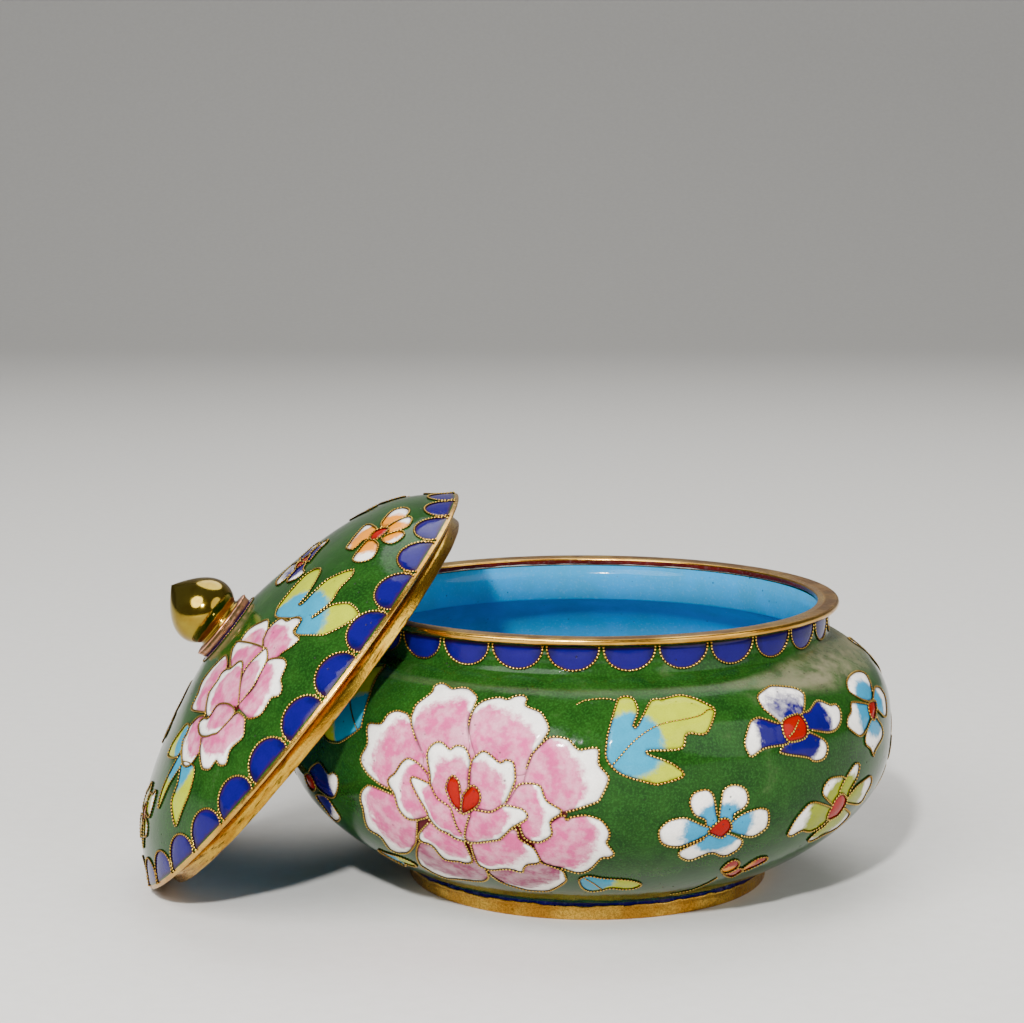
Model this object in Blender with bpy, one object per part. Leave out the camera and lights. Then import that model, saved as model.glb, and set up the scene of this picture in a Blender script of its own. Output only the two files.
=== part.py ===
"""Cloisonne jar with its lid leaning against it.

The jar is an enamelled copper bowl with a straight neck, a gilt ring round its mouth and a gilt
foot ring under it. The lid is an enamelled dome with a gilt seating ring inside its edge, a gilt
collar and a bud-shaped knob. The lid stands on its edge on the floor and leans on the jar's mouth.
Every piece is turned: an outline of (radius, height) points is spun about the piece's own axis.
Lengths are in metres, with +Z up and the floor at Z = 0.
"""
import math

import bmesh
import bpy
import numpy as np

# Jar
BELLY_RADIUS = 0.0525
BELLY_HEIGHT = 0.0265
SHOULDER_FULLNESS = 3.18
BELLY_FULLNESS = 2.3
NECK_RADIUS = 0.0415
NECK_LENGTH = 0.0060
JAR_HEIGHT = 0.0493
JAR_WALL = 0.0016
BASE_RADIUS = 0.0316
BASE_BAND_HEIGHT = 0.0007

# Gilt rings of the jar: the mouth's ring stands out from the neck and laps over its wall inside
RIM_OVERHANG = 0.0018
RIM_LAP = 0.0003
RIM_THICKNESS = 0.0012
RIM_ROUNDING = 0.0005
FOOT_INSET = 0.0004
FOOT_WIDTH = 0.0022
FOOT_HEIGHT = 0.0021
FOOT_ROUNDING = 0.0003

# Lid, measured from the plane of its edge, which is a little smaller than the mouth's ring.
# The section is (share of the edge's radius, height) from middle to edge.
LID_INSET = 0.0005
LID_SECTION = [(0.0, 0.0171), (0.374, 0.0149), (0.701, 0.0106), (0.818, 0.0081), (0.911, 0.0046),
               (0.970, 0.0018), (1.0, 0.0005)]
LID_WALL = 0.0014
FLANGE_PLAY = 0.0004
FLANGE_WALL = 0.0012
FLANGE_DEPTH = 0.0030
LEDGE_LAP = 0.0006

# Knob
COLLAR_RADIUS = 0.0064
COLLAR_FOOT_RADIUS = 0.0057
COLLAR_HEIGHT = 0.0010
COLLAR_DISH = 0.0004
KNOB_STEM_RADIUS = 0.0049
KNOB_STEM_HEIGHT = 0.0007
BULB_RADIUS = 0.0060
BULB_LENGTH = 0.0101

# How the lid leans: the slope of its edge plane, its turn to the front and its place along Y
LID_LEAN = math.radians(51.1)
LID_TURN = math.radians(2.6)
LID_FORWARD = 0.0042
LID_REST_GAP = 0.0003

# Clearance between pieces that sit on each other
SEAT_GAP = 0.0003

ROUND_STEPS = 48
KNOB_STEPS = 24

COLOURS = {
    "enamel_green": ((0.020, 0.105, 0.012), 0.0, 0.12),
    "gilt_brass": ((0.760, 0.440, 0.110), 1.0, 0.25),
}


def arc(centre, radius, start, end, steps):
    """Points of a round corner, as (radius, height), from one angle in degrees to another."""
    angles = np.radians(np.linspace(start, end, steps + 1))
    return [(centre[0] + radius * math.cos(a), centre[1] + radius * math.sin(a)) for a in angles]


def power_curve(start, end, exponent, steps):
    """Points from start to end whose radius falls away from start as a power of the height gone."""
    shares = np.linspace(0.0, 1.0, steps + 1)
    return [(start[0] + (end[0] - start[0]) * s ** exponent, start[1] + (end[1] - start[1]) * s)
            for s in shares]


def neck_foot():
    """Height at which the shoulder meets the neck."""
    return JAR_HEIGHT - NECK_LENGTH


def rim_radii():
    """Outer and inner radius of the ring round the mouth."""
    return NECK_RADIUS + RIM_OVERHANG, NECK_RADIUS - JAR_WALL - RIM_LAP


def body_outline():
    """The bowl: outside from base to neck, then inside from neck to floor."""
    base = FOOT_HEIGHT + SEAT_GAP
    band_top = base + BASE_BAND_HEIGHT
    neck_top = JAR_HEIGHT - RIM_THICKNESS - SEAT_GAP
    belly = (BELLY_RADIUS, BELLY_HEIGHT)
    lower = power_curve(belly, (BASE_RADIUS, band_top), BELLY_FULLNESS, 8)
    upper = power_curve(belly, (NECK_RADIUS, neck_foot()), SHOULDER_FULLNESS, 7)
    inner_belly = (BELLY_RADIUS - JAR_WALL, BELLY_HEIGHT)
    inner_base = (BASE_RADIUS - JAR_WALL, band_top + JAR_WALL)
    inner_lower = power_curve(inner_belly, inner_base, BELLY_FULLNESS, 6)
    inner_neck = (NECK_RADIUS - JAR_WALL, neck_foot())
    inner_upper = power_curve(inner_belly, inner_neck, SHOULDER_FULLNESS, 6)
    outside = [(0.0, base), (BASE_RADIUS, base)] + lower[::-1] + upper[1:] + [(NECK_RADIUS, neck_top)]
    inside = [(inner_neck[0], neck_top)] + inner_upper[::-1] + inner_lower[1:]
    return outside + inside + [(0.0, inner_base[1])]


def mouth_rim_outline():
    """A flat ring on the neck, with rounded outer corners."""
    outer, inner = rim_radii()
    low, top = JAR_HEIGHT - RIM_THICKNESS, JAR_HEIGHT
    corner = outer - RIM_ROUNDING
    return ([(inner, top), (inner, low)]
            + arc((corner, low + RIM_ROUNDING), RIM_ROUNDING, -90, 0, 2)
            + arc((corner, top - RIM_ROUNDING), RIM_ROUNDING, 0, 90, 3))


def foot_ring_outline():
    """A low ring under the base, flat below, with a small rounding at its outer edges."""
    outer = BASE_RADIUS - FOOT_INSET
    inner = outer - FOOT_WIDTH
    corner = outer - FOOT_ROUNDING
    return ([(inner, FOOT_HEIGHT), (inner, 0.0)]
            + arc((corner, FOOT_ROUNDING), FOOT_ROUNDING, -90, 0, 2)
            + arc((corner, FOOT_HEIGHT - FOOT_ROUNDING), FOOT_ROUNDING, 0, 90, 2))


def lid_radius():
    """Radius of the lid's edge."""
    return rim_radii()[0] - LID_INSET


def dome_height(radius):
    """Height of the dome at a radius: a cubic curve through the points of the lid's section.

    The curve is level in the middle, runs straight out at the edge, and at every other point has
    the slope between the two points beside it.
    """
    shares, heights = np.array(LID_SECTION).T
    radii = lid_radius() * shares
    slopes = np.gradient(heights, radii)
    slopes[0] = 0.0
    i = np.clip(np.searchsorted(radii, radius) - 1, 0, len(radii) - 2)
    length = radii[i + 1] - radii[i]
    s = (radius - radii[i]) / length
    return ((1 + 2 * s) * (1 - s) ** 2 * heights[i] + s * (1 - s) ** 2 * length * slopes[i]
            + s * s * (3 - 2 * s) * heights[i + 1] - s * s * (1 - s) * length * slopes[i + 1])


def flange_radii():
    """Outer and inner radius of the seating ring, which drops into the jar's mouth."""
    outer = rim_radii()[1] - FLANGE_PLAY
    return outer, outer - FLANGE_WALL


def lid_dome_outline():
    """The dome: outside from the middle to the edge, the flat ledge, then the hollow inside.

    The hollow is the outside drawn smaller by the wall and moved down by the wall.
    """
    edge = lid_radius()
    ledge_inner = flange_radii()[1] - LEDGE_LAP
    outer = [(r, dome_height(r)) for r in edge * np.sin(np.radians(np.linspace(0.0, 90.0, 12)))]
    hollow = [(r, dome_height(r * edge / (edge - LID_WALL)) - LID_WALL)
              for r in ledge_inner * np.sin(np.radians(np.linspace(90.0, 0.0, 8)))]
    return outer + [(edge, 0.0), (ledge_inner, 0.0)] + hollow


def lid_flange_outline():
    """The seating ring that hangs below the ledge."""
    outer, inner = flange_radii()
    return [(outer, -SEAT_GAP), (inner, -SEAT_GAP), (inner, -FLANGE_DEPTH), (outer, -FLANGE_DEPTH)]


def collar_seat():
    """Height at which the collar starts, clear of the top of the dome."""
    return dome_height(0.0) + SEAT_GAP


def knob_collar_outline():
    """A flared disc whose lip stands above its dished top."""
    low = collar_seat()
    top = low + COLLAR_HEIGHT
    floor = top - COLLAR_DISH
    return [(0.0, low), (COLLAR_FOOT_RADIUS, low), (COLLAR_RADIUS, top - COLLAR_DISH / 2),
            (COLLAR_RADIUS, top), (COLLAR_RADIUS - COLLAR_DISH, top),
            (COLLAR_FOOT_RADIUS - COLLAR_DISH, floor), (0.0, floor)]


def knob_finial_outline():
    """A stem with one groove, then a bud: a round lower part and an upper part that ends in a point.

    The upper part's radius falls as one less the square of the share of height gone.
    """
    low = collar_seat() + COLLAR_HEIGHT - COLLAR_DISH + SEAT_GAP
    bulb_low = low + KNOB_STEM_HEIGHT
    tip = bulb_low + BULB_LENGTH
    widest = bulb_low + 0.3 * BULB_LENGTH
    groove = 0.88 * KNOB_STEM_RADIUS
    stem = [(0.0, low), (KNOB_STEM_RADIUS, low), (KNOB_STEM_RADIUS, low + 0.6 * KNOB_STEM_HEIGHT),
            (groove, bulb_low)]
    lower = [(BULB_RADIUS * math.cos(a), widest - (widest - bulb_low) * math.sin(a) / math.sin(0.68))
             for a in np.linspace(0.68, 0.0, 4)]
    upper = [(BULB_RADIUS * (1.0 - s * s), widest + (tip - widest) * s) for s in np.linspace(0.0, 1.0, 7)[1:]]
    return stem + lower + upper


def distance_to_outline(points, outline):
    """Distance from (radius, height) points to the nearest side of a closed outline."""
    starts = np.array(outline)
    sides = np.roll(starts, -1, axis=0) - starts
    starts = starts[np.linalg.norm(sides, axis=1) > 0.0]
    sides = sides[np.linalg.norm(sides, axis=1) > 0.0]
    offsets = points[:, None, :] - starts[None, :, :]
    shares = np.clip((offsets * sides).sum(axis=2) / (sides ** 2).sum(axis=1), 0.0, 1.0)
    return np.linalg.norm(offsets - shares[..., None] * sides, axis=2).min()


def lid_place(x):
    """Where the middle of the lid's edge plane is, when its edge stands on the floor."""
    return np.array([x, -LID_FORWARD, lid_radius() * math.sin(LID_LEAN)])


def lid_rest_x():
    """The lid's X when it has slid towards the jar until only the rest gap is left.

    The jar's outside is taken as circles of points. Seen from the lid's axis, each point has a
    radius and a height, and its distance to the lid is its distance to the lid's outlines. The lid
    can slide as far as that distance without touching, so it slides so far and measures again.
    """
    axis = np.array([-math.sin(LID_LEAN) * math.cos(LID_TURN),
                     -math.sin(LID_LEAN) * math.sin(LID_TURN), math.cos(LID_LEAN)])
    profile = np.array(mouth_rim_outline() + body_outline())
    angles = np.radians(np.arange(90.0, 270.0, 1.5))
    jar = np.stack([np.outer(profile[:, 0], np.cos(angles)), np.outer(profile[:, 0], np.sin(angles)),
                    np.outer(profile[:, 1], np.ones_like(angles))], axis=-1).reshape(-1, 3)

    def gap(x):
        """Smallest distance from the jar to the lid."""
        offsets = jar - lid_place(x)
        heights = offsets @ axis
        radii = np.linalg.norm(offsets - heights[:, None] * axis, axis=1)
        points = np.stack([radii, heights], axis=1)
        return min(distance_to_outline(points, lid_dome_outline()),
                   distance_to_outline(points, lid_flange_outline()))

    x = -(BELLY_RADIUS + lid_radius())
    room = gap(x) - LID_REST_GAP
    while room > 0.02 * LID_REST_GAP:
        x += room
        room = gap(x) - LID_REST_GAP
    return x


def material(name):
    """A plain material with the colour, metallic value and roughness of one finish."""
    colour, metallic, roughness = COLOURS[name]
    result = bpy.data.materials.new(name)
    result.use_nodes = True
    shader = result.node_tree.nodes["Principled BSDF"]
    shader.inputs["Base Color"].default_value = (*colour, 1.0)
    shader.inputs["Metallic"].default_value = metallic
    shader.inputs["Roughness"].default_value = roughness
    return result


def turned(name, outline, steps, finish, parent):
    """An object made by spinning an outline about the Z axis.

    An outline that starts and ends on the axis is open, and any other is a closed ring.
    """
    mesh = bmesh.new()
    points = [mesh.verts.new((radius, 0.0, height)) for radius, height in outline]
    edges = [mesh.edges.new(pair) for pair in zip(points, points[1:])]
    if outline[0][0] > 0.0:
        edges.append(mesh.edges.new((points[-1], points[0])))
    bmesh.ops.spin(mesh, geom=points + edges, cent=(0.0, 0.0, 0.0), axis=(0.0, 0.0, 1.0),
                   angle=math.tau, steps=steps, use_merge=True)
    bmesh.ops.remove_doubles(mesh, verts=mesh.verts, dist=1e-6)
    bmesh.ops.recalc_face_normals(mesh, faces=mesh.faces)
    data = bpy.data.meshes.new(name)
    mesh.to_mesh(data)
    mesh.free()
    data.materials.append(finish)
    data.shade_smooth()
    data.set_sharp_from_angle(angle=math.radians(35.0))
    result = bpy.data.objects.new(name, data)
    bpy.context.collection.objects.link(result)
    result.parent = parent
    return result


def empty(name, location=(0.0, 0.0, 0.0), rotation=(0.0, 0.0, 0.0), parent=None):
    """An empty that carries the pieces parented to it."""
    result = bpy.data.objects.new(name, None)
    bpy.context.collection.objects.link(result)
    result.location = location
    result.rotation_euler = rotation
    result.parent = parent
    return result


def centre_on_origin(carrier, pieces):
    """Moves the carrier so that the box round all pieces is centred on the origin in X and Y."""
    bpy.context.view_layer.update()
    corners = np.array([piece.matrix_world @ vertex.co for piece in pieces for vertex in piece.data.vertices])
    middle = (corners.min(axis=0) + corners.max(axis=0)) / 2
    carrier.location = (-middle[0], -middle[1], 0.0)


def main():
    """Builds the jar and the lid."""
    for old in list(bpy.data.objects):
        bpy.data.objects.remove(old, do_unlink=True)
    enamel = material("enamel_green")
    gilt = material("gilt_brass")
    carrier = empty("jar_and_lid")
    lean = empty("lid_lean", lid_place(lid_rest_x()), (0.0, -LID_LEAN, LID_TURN), carrier)
    pieces = [
        turned("jar_body", body_outline(), ROUND_STEPS, enamel, carrier),
        turned("mouth_rim", mouth_rim_outline(), ROUND_STEPS, gilt, carrier),
        turned("foot_ring", foot_ring_outline(), ROUND_STEPS, gilt, carrier),
        turned("lid_dome", lid_dome_outline(), ROUND_STEPS, enamel, lean),
        turned("lid_flange", lid_flange_outline(), ROUND_STEPS, gilt, lean),
        turned("knob_collar", knob_collar_outline(), KNOB_STEPS, gilt, lean),
        turned("knob_finial", knob_finial_outline(), KNOB_STEPS, gilt, lean),
    ]
    centre_on_origin(carrier, pieces)


main()
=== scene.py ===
"""Looks of the cloisonne jar and its leaning lid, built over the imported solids.

The vessels, rings and knob are turned again from fine profiles. Every enamel cell is a thin sheet
that lies on its vessel, and every wire is a row of gilt beads along the cell's outline. Lengths in
the maths are in millimetres; the meshes are in metres, with +Z up and the floor at Z = 0.
"""
import math

import bpy
import numpy as np
from mathutils import Matrix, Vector
from mathutils.geometry import delaunay_2d_cdt


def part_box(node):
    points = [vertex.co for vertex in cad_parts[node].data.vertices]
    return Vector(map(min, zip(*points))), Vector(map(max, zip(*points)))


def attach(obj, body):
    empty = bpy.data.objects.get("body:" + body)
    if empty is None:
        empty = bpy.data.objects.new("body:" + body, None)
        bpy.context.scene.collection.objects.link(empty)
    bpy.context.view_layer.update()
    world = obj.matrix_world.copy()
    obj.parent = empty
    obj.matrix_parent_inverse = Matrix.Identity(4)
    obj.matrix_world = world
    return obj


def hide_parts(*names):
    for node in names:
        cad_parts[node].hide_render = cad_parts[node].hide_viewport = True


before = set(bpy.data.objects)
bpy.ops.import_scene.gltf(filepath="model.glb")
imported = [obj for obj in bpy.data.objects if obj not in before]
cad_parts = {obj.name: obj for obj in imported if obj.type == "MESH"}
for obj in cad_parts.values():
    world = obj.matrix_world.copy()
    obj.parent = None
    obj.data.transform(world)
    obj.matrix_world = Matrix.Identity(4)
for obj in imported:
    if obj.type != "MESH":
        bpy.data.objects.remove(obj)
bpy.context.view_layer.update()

bl_info = {
    "name": "Cloisonne jar with lid",
    "version": (1, 0, 0),
    "blender": (4, 5, 0),
    "location": "View3D > Sidebar > Jar",
    "description": "Enamel, wires and gilding of a lidded cloisonne jar",
    "category": "Add Mesh",
}

MM = 0.001

# Jar, as in the part's source
BELLY_RADIUS, BELLY_HEIGHT = 52.5, 26.5
SHOULDER_FULLNESS, BELLY_FULLNESS = 3.18, 2.3
NECK_RADIUS, NECK_FOOT, JAR_HEIGHT = 41.5, 43.3, 49.3
JAR_WALL, BASE_RADIUS, BASE_HEIGHT, BAND_TOP = 1.6, 31.6, 2.4, 3.1
RIM_RADIUS, MOUTH_RADIUS, RIM_THICKNESS = 43.3, 39.6, 1.2
FOOT_RADIUS, FOOT_WIDTH, FOOT_HEIGHT = 31.2, 2.2, 2.1
NECK_TOP, SIDE_STEPS = 47.8, 90

# Lid, as in the part's source: (radius, height) from the middle to the edge, above its edge plane
LID_RADIUS, LID_WALL, LEDGE_RADIUS = 42.8, 1.4, 37.4
LID_SECTION = np.array([(0.0, 17.1), (16.0, 14.9), (30.0, 10.6), (35.0, 8.1), (39.0, 4.6), (41.5, 1.8),
                        (42.8, 0.5)])
FLANGE_OUTER, FLANGE_INNER, FLANGE_LOW, SEAT_GAP = 39.2, 38.0, 3.0, 0.3
LID_LEAN, LID_TURN = math.radians(51.1), math.radians(2.6)
COLLAR_LOW = 17.4

# Points of an enamel sheet, in millimetres: how far apart they lie along the edge, across and up,
# how far inside the edge the next row lies, and how far from the edge the grid starts
EDGE_STEP, ACROSS_STEP, UP_STEP, INSET, GRID_CLEAR = 0.35, 0.9, 0.8, 0.2, 0.5
# Heights of the sheets: how far the edge dips under the vessel's surface and how wide the rise from
# it is, how high a motif's first sheet lies, and how much higher each later one
EDGE_DIP, EDGE_RISE, FIRST_LIFT, LIFT_STEP = 0.04, 0.15, 0.05, 0.012
# How much the middle of a sheet swells, over what width, and how far from later cells it starts;
# then the width of the dark rim along the wires
PUFF, PUFF_WIDTH, PUFF_CLEAR, DARK_RIM = 0.12, 1.8, 0.9, 0.5
# Wires: how high the middle of one lies above its sheet, above bare ground and in small rings, how
# near a later cell hides it, and then the thickness of veins, the points round a wire, and how its
# thickness swells along a bead, as shares of its full thickness
WIRE_LIFT, STEM_LIFT, RING_LIFT, HIDDEN_GAP = 0.05, 0.06, 0.08, 0.4
VEIN_SHARE, WIRE_SIDES, BEAD_SWELL = 0.8, 8, np.array([1.0, 0.78, 0.32, 0.78])
# Scallops: half an arch's width as a share of the step between two, its depth, and the half turn
# in degrees of the lid's; then the curls between the lid's, and the ring under the knob's collar
JAR_ARCH_HALF, JAR_ARCH_DEPTH = 0.462, 3.9
LID_ARCH_HALF, LID_ARCH_DEPTH, LID_ARCH_TURN = 0.47, 2.4, 110.0
CURL_RADIUS, COLLAR_RING_RADIUS, COLLAR_RING_SHARE = 0.42, 6.95, 0.6
ARCH_POINTS = 41
# Dust on the jar's shoulder: its height, how far right of the axis it starts and is thickest, and
# how far it reaches up and down where it starts and how much further where it is thickest
DUST_HEIGHT, DUST_START, DUST_FULL, DUST_WIDTH, DUST_SPREAD = 41.2, 14.0, 40.0, 0.6, 3.2

# Flower and leaf outlines in millimetres from the middle of each, back cells first. On the jar
# they are (along the belly, up the side), and on the lid (towards the top, away from the front).
# A line is a vein over the cells, and a stem is a wire on the bare ground.
JAR_PEONY = ((-1.3, 1.5), [
    ("gap", [(-12.6, 5.5), (-7.2, 10), (0.2, 12.6), (8.6, 9.2), (14.7, 2), (15.6, -0.3),
        (11.2, -9.5), (2.9, -12.6), (-1.8, -12), (-12, -9.5), (-11.8, -3.4)]),
    ("blush", [(-12.6, 5.5), (-7.2, 10), (0.2, 12.6), (8.6, 9.2), (13, 3.5), (8, 0), (0, 0), (-9, 0)]),
    ("outer", [(-10, 10.8), (-12.4, 14), (-14, 14.6), (-15.5, 14.6), (-16.9, 13.8), (-17.7, 12.2),
        (-20.2, 11.8), (-20.6, 10.9), (-20, 8.6), (-21.3, 6.4), (-21.3, 5.3), (-20.3, 4.1),
        (-18.9, 3.2), (-15.2, 2), (-12.7, 3.7), (-9.7, 4.9), (-7.9, 7.6)]),
    ("outer", [(-9.9, 10.5), (-11.8, 13.5), (-12, 15.1), (-11.9, 16.4), (-10.3, 18.8), (-10.5, 20.1),
        (-9.7, 21), (-8.3, 20.9), (-6.6, 20.2), (-5.2, 20.6), (-3.5, 20.6), (-1.9, 19.7),
        (-0.9, 18.5), (-1.2, 14.7), (0, 10), (-3.3, 7.3), (-6.9, 6.9)]),
    ("outer", [(-0.7, 12.6), (-1, 15.1), (-0.7, 17), (0.2, 18.2), (1.5, 18.9), (3.2, 19.3), (4.6, 19),
        (5.7, 19.7), (7.1, 20), (8.1, 19.4), (8.2, 18), (10.7, 17), (11.8, 15.8), (12.5, 14.4),
        (12.3, 13.1), (9.8, 9.2), (9.2, 6.7), (6, 6.5), (1.8, 7.8), (0.3, 10)]),
    ("outer", [(9.8, 9.2), (10.5, 10.5), (12.5, 12.5), (13.7, 12.8), (14.9, 12.7), (16, 12.3),
        (17, 11.2), (17.8, 10.9), (19.8, 11.2), (20.6, 10.8), (20.6, 8.7), (21.8, 7.2),
        (22.1, 6.1), (20.9, 3.4), (20, 2.6), (15.6, 1.1), (13.5, 1), (10.8, 2.8), (8.7, 5.1)]),
    ("petal", [(15, 0.5), (15.6, -0.3), (16.3, 0.2), (18.5, 0.6), (20.6, 0), (21.6, -0.9),
        (22.3, -2.2), (22.3, -3.5), (22, -4.5), (23.3, -6.8), (22.5, -7.8), (21.2, -8),
        (19.7, -10.6), (18.5, -11.9), (16.8, -12.2), (14.1, -10.8), (12.5, -10.3), (11, -9.2),
        (10.1, -6.5), (10.4, -3.5), (12.3, -1.5)]),
    ("mauve", [(10.4, -8.5), (11, -9.5), (14.2, -11.4), (14.8, -13.4), (14.6, -15.8), (11.2, -20),
        (8.8, -20.9), (5.9, -20.9), (3.6, -19.7), (1.5, -18.2), (0.4, -16.2), (0, -12.9),
        (3.5, -10.4)]),
    ("mauve", [(-12, -8.2), (-16.5, -15.2), (-16.3, -17.5), (-15.6, -19.3), (-13.5, -20.5),
        (-9.9, -19.6), (-4.4, -18.8), (-2.3, -17.8), (-0.7, -15.7), (-0.2, -12.3),
        (-0.5, -9.9), (-2.6, -8.6), (-6.2, -7.7), (-8.6, -6.3)]),
    ("petal", [(-22.1, -1.3), (-21.6, 0.2), (-20.5, 1.3), (-19, 1.9), (-14.6, 1.2), (-11.9, 0.5),
        (-10, -1.3), (-10.4, -3.8), (-12.1, -7.5), (-13.8, -9.4), (-16.3, -11.5),
        (-18.7, -12.5), (-20.5, -12.8), (-21.7, -11.9), (-21.1, -8.7), (-23.1, -7.5),
        (-23.2, -6.1), (-22.1, -2.8)]),
    ("petal", [(-0.9, -6.1), (-1.2, -11.2), (-0.3, -12.6), (1.1, -13), (4.3, -12.1), (6.8, -12.8),
        (7.5, -11.4), (8.4, -10.3), (10.7, -9.3), (10.3, -6.5), (9.6, -5.4), (7.9, -4.1),
        (6.9, -2.2), (-0.6, -4.6)]),
    ("petal", [(-10.5, -5.3), (-7.3, -2.4), (-5.6, -2.5), (-3.2, -4.1), (-2, -6.1), (-1.8, -9.5),
        (-2.3, -11.1), (-3.8, -11.7), (-5.1, -11.4), (-8, -11.4), (-8.7, -8.5), (-9.4, -7.6),
        (-10.5, -7.4), (-11.1, -6.8)]),
    ("petal", [(-12.3, 6.7), (-11.1, 7.5), (-9.9, 7.3), (-8.8, 6.8), (-7.8, 6), (-7.2, 5.1),
        (-6.2, 1.3), (-7.3, -1.3), (-9.2, -2.3), (-10.7, -2.7), (-11.9, -2.7), (-12.9, -2),
        (-13.5, -1), (-14, 1.3), (-14.8, 2.2), (-15.2, 3.2), (-14.7, 4), (-13.7, 4.8)]),
    ("petal", [(6.1, 1.6), (6.5, 2.7), (7.6, 4.6), (8.4, 5.3), (9.7, 5.5), (10.9, 5.4), (11.7, 4.9),
        (12.5, 2.9), (14.7, 1.5), (14.6, 0.7), (13.1, -0.6), (13.2, -2.9), (11.5, -4.4),
        (10.3, -4.5), (9.2, -4.2), (8.5, -3.2), (7.6, 0.2)]),
    ("petal", [(-7.5, 8.1), (-7.4, 9.2), (-6.8, 10.1), (-5.8, 10.7), (-4.8, 10.6), (-3.5, 9.8),
        (-2.6, 10.4), (-1.6, 10.5), (-0.7, 10.1), (0.1, 8.4), (-0.1, 4.6), (0.2, 0),
        (-1.5, -5.5), (-2.4, -4.8), (-3.9, -3), (-6.4, 1.3), (-6.9, 3.2), (-6.9, 5.3)]),
    ("petal", [(-10.5, 4.3), (-9.9, 4.7), (-7.6, 4.2), (-6.7, 3.7), (-5.6, 1.9), (-3.7, 0.8),
        (-3.1, -0.2), (-2.6, -2.8), (-1.5, -5.5), (-3.5, -5.2), (-4.4, -4.5), (-6.4, -3.6),
        (-7.7, -1.7), (-7.9, -0.6), (-10.3, 3.4)]),
    ("petal", [(0.2, 7.5), (0.8, 8.9), (2.5, 10), (5, 8.5), (5.9, 8.9), (6.9, 8.8), (7.4, 8.2),
        (7.6, 6.2), (7.3, 5), (6, 2.2), (4.1, 0.6), (3.1, 0.5), (0.5, 1.1), (0, 3.6)]),
    ("petal", [(0.1, 0), (1, 0.6), (3.5, 0.5), (5.7, 1.7), (8.1, 1.5), (9, 1.1), (9.5, 0.3),
        (9, -0.6), (6.9, -2), (5.1, -3.9), (3.8, -4.7), (-1.5, -5.5)]),
    ("red", [(-3.3, 5.4), (-2.6, 5.8), (-1.9, 5.2), (-1.5, 4), (-1.3, -0.1), (-2.3, 0.4),
        (-3.1, 1.3), (-3.6, 2.4), (-4, 3.5), (-3.8, 4.5)]),
    ("red", [(-0.8, 3.2), (0.5, 4.5), (1.4, 4.2), (1.9, 3.3), (1.9, 2.2), (1.2, 1.1), (-1.3, -0.3),
        (-1.2, 2.2)])])
JAR_LEAF = ((-5.6, -1.2), [
    ("tall_leaf", [(-8.7, -4.5), (-9.6, -3), (-9.5, -1.1), (-9.1, 1), (-7.4, 6.2), (-6.6, 7.2),
        (-5.5, 7.4), (-4.5, 7), (-4, 5.7), (-4, 4.2), (-5, 1.9), (-4.3, 1.9), (-1.8, 5.8),
        (-0.8, 6.6), (0.7, 6.6), (3.8, 7.2), (5.4, 6.9), (6.9, 6.2), (9.1, 4.6), (9.6, 3.8),
        (8.9, 2.4), (6.9, 0), (4.3, 0.2), (3.4, -0.2), (2.4, -2.1), (-2.7, -2.2), (-2.8, -2.8),
        (0.8, -4.3), (2.7, -6.3), (-1, -7.4), (-2.4, -7.3), (-6.8, -5.9)]),
    ("line", [(-8.7, -4.4), (-5.5, -1), (-2.6, 1), (0.4, 2.1), (6.2, 2.9), (8.3, 3.9), (9.4, 3.8)]),
    ("stem", [(-14.4, 5.8), (-12.9, 6.6), (-10.2, 7), (-8.1, 6.8), (-7.3, 6.4)])])
BLUE_FLOWER = ((-1, -0.9), [
    ("frost", [(-3.9, 0.6), (-5.7, 2.6), (-6.1, 3.7), (-6.1, 4.9), (-5.3, 5.8), (-2.7, 6.8),
        (-1.1, 7), (2.3, 6.2), (3.8, 5.5), (4.4, 4.8), (4.3, 3.8), (1.3, 0.6), (-0.9, -0.1),
        (-2.9, -0.2)]),
    ("blue", [(1.9, 1.2), (3.3, 1.3), (6, 2.5), (7.4, 2.5), (9.4, 1.4), (10.8, 1.3), (11.4, 0.5),
        (11.2, -0.6), (10.3, -1.8), (8.8, -2.6), (7.1, -2.8), (5.3, -2.5), (0.4, -1), (0.5, 0.3)]),
    ("blue", [(1.5, -2.1), (2.6, -2.3), (5, -3.6), (5.9, -4.7), (5.8, -5.8), (5, -6.7), (3.5, -6.9),
        (2.1, -6.6), (0.9, -5.9), (-3.8, -4.7), (-4.8, -4), (-2.3, -2.6)]),
    ("blue", [(-3.6, 0.2), (-4.4, 0.3), (-7.2, 1.5), (-8.5, 1.5), (-9.7, 0.9), (-11.2, -1.4),
        (-11.4, -2.6), (-11, -3.7), (-10.3, -4.3), (-7.7, -3.3), (-3.4, -3.2), (-2.3, -2.6),
        (-2.3, -0.9)]),
    ("red", [(-3.4, 0.2), (-2.2, 0.9), (0.3, 1.2), (1.2, 0.8), (1.7, -0.2), (1.8, -1.2),
        (1.4, -2.3), (0.3, -2.9), (-2.4, -3), (-3.3, -2.4), (-3.7, -1.3)]),
    ("line", [(0.2, 0.1), (-1.6, -1.5), (-2.6, -2)])])
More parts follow.
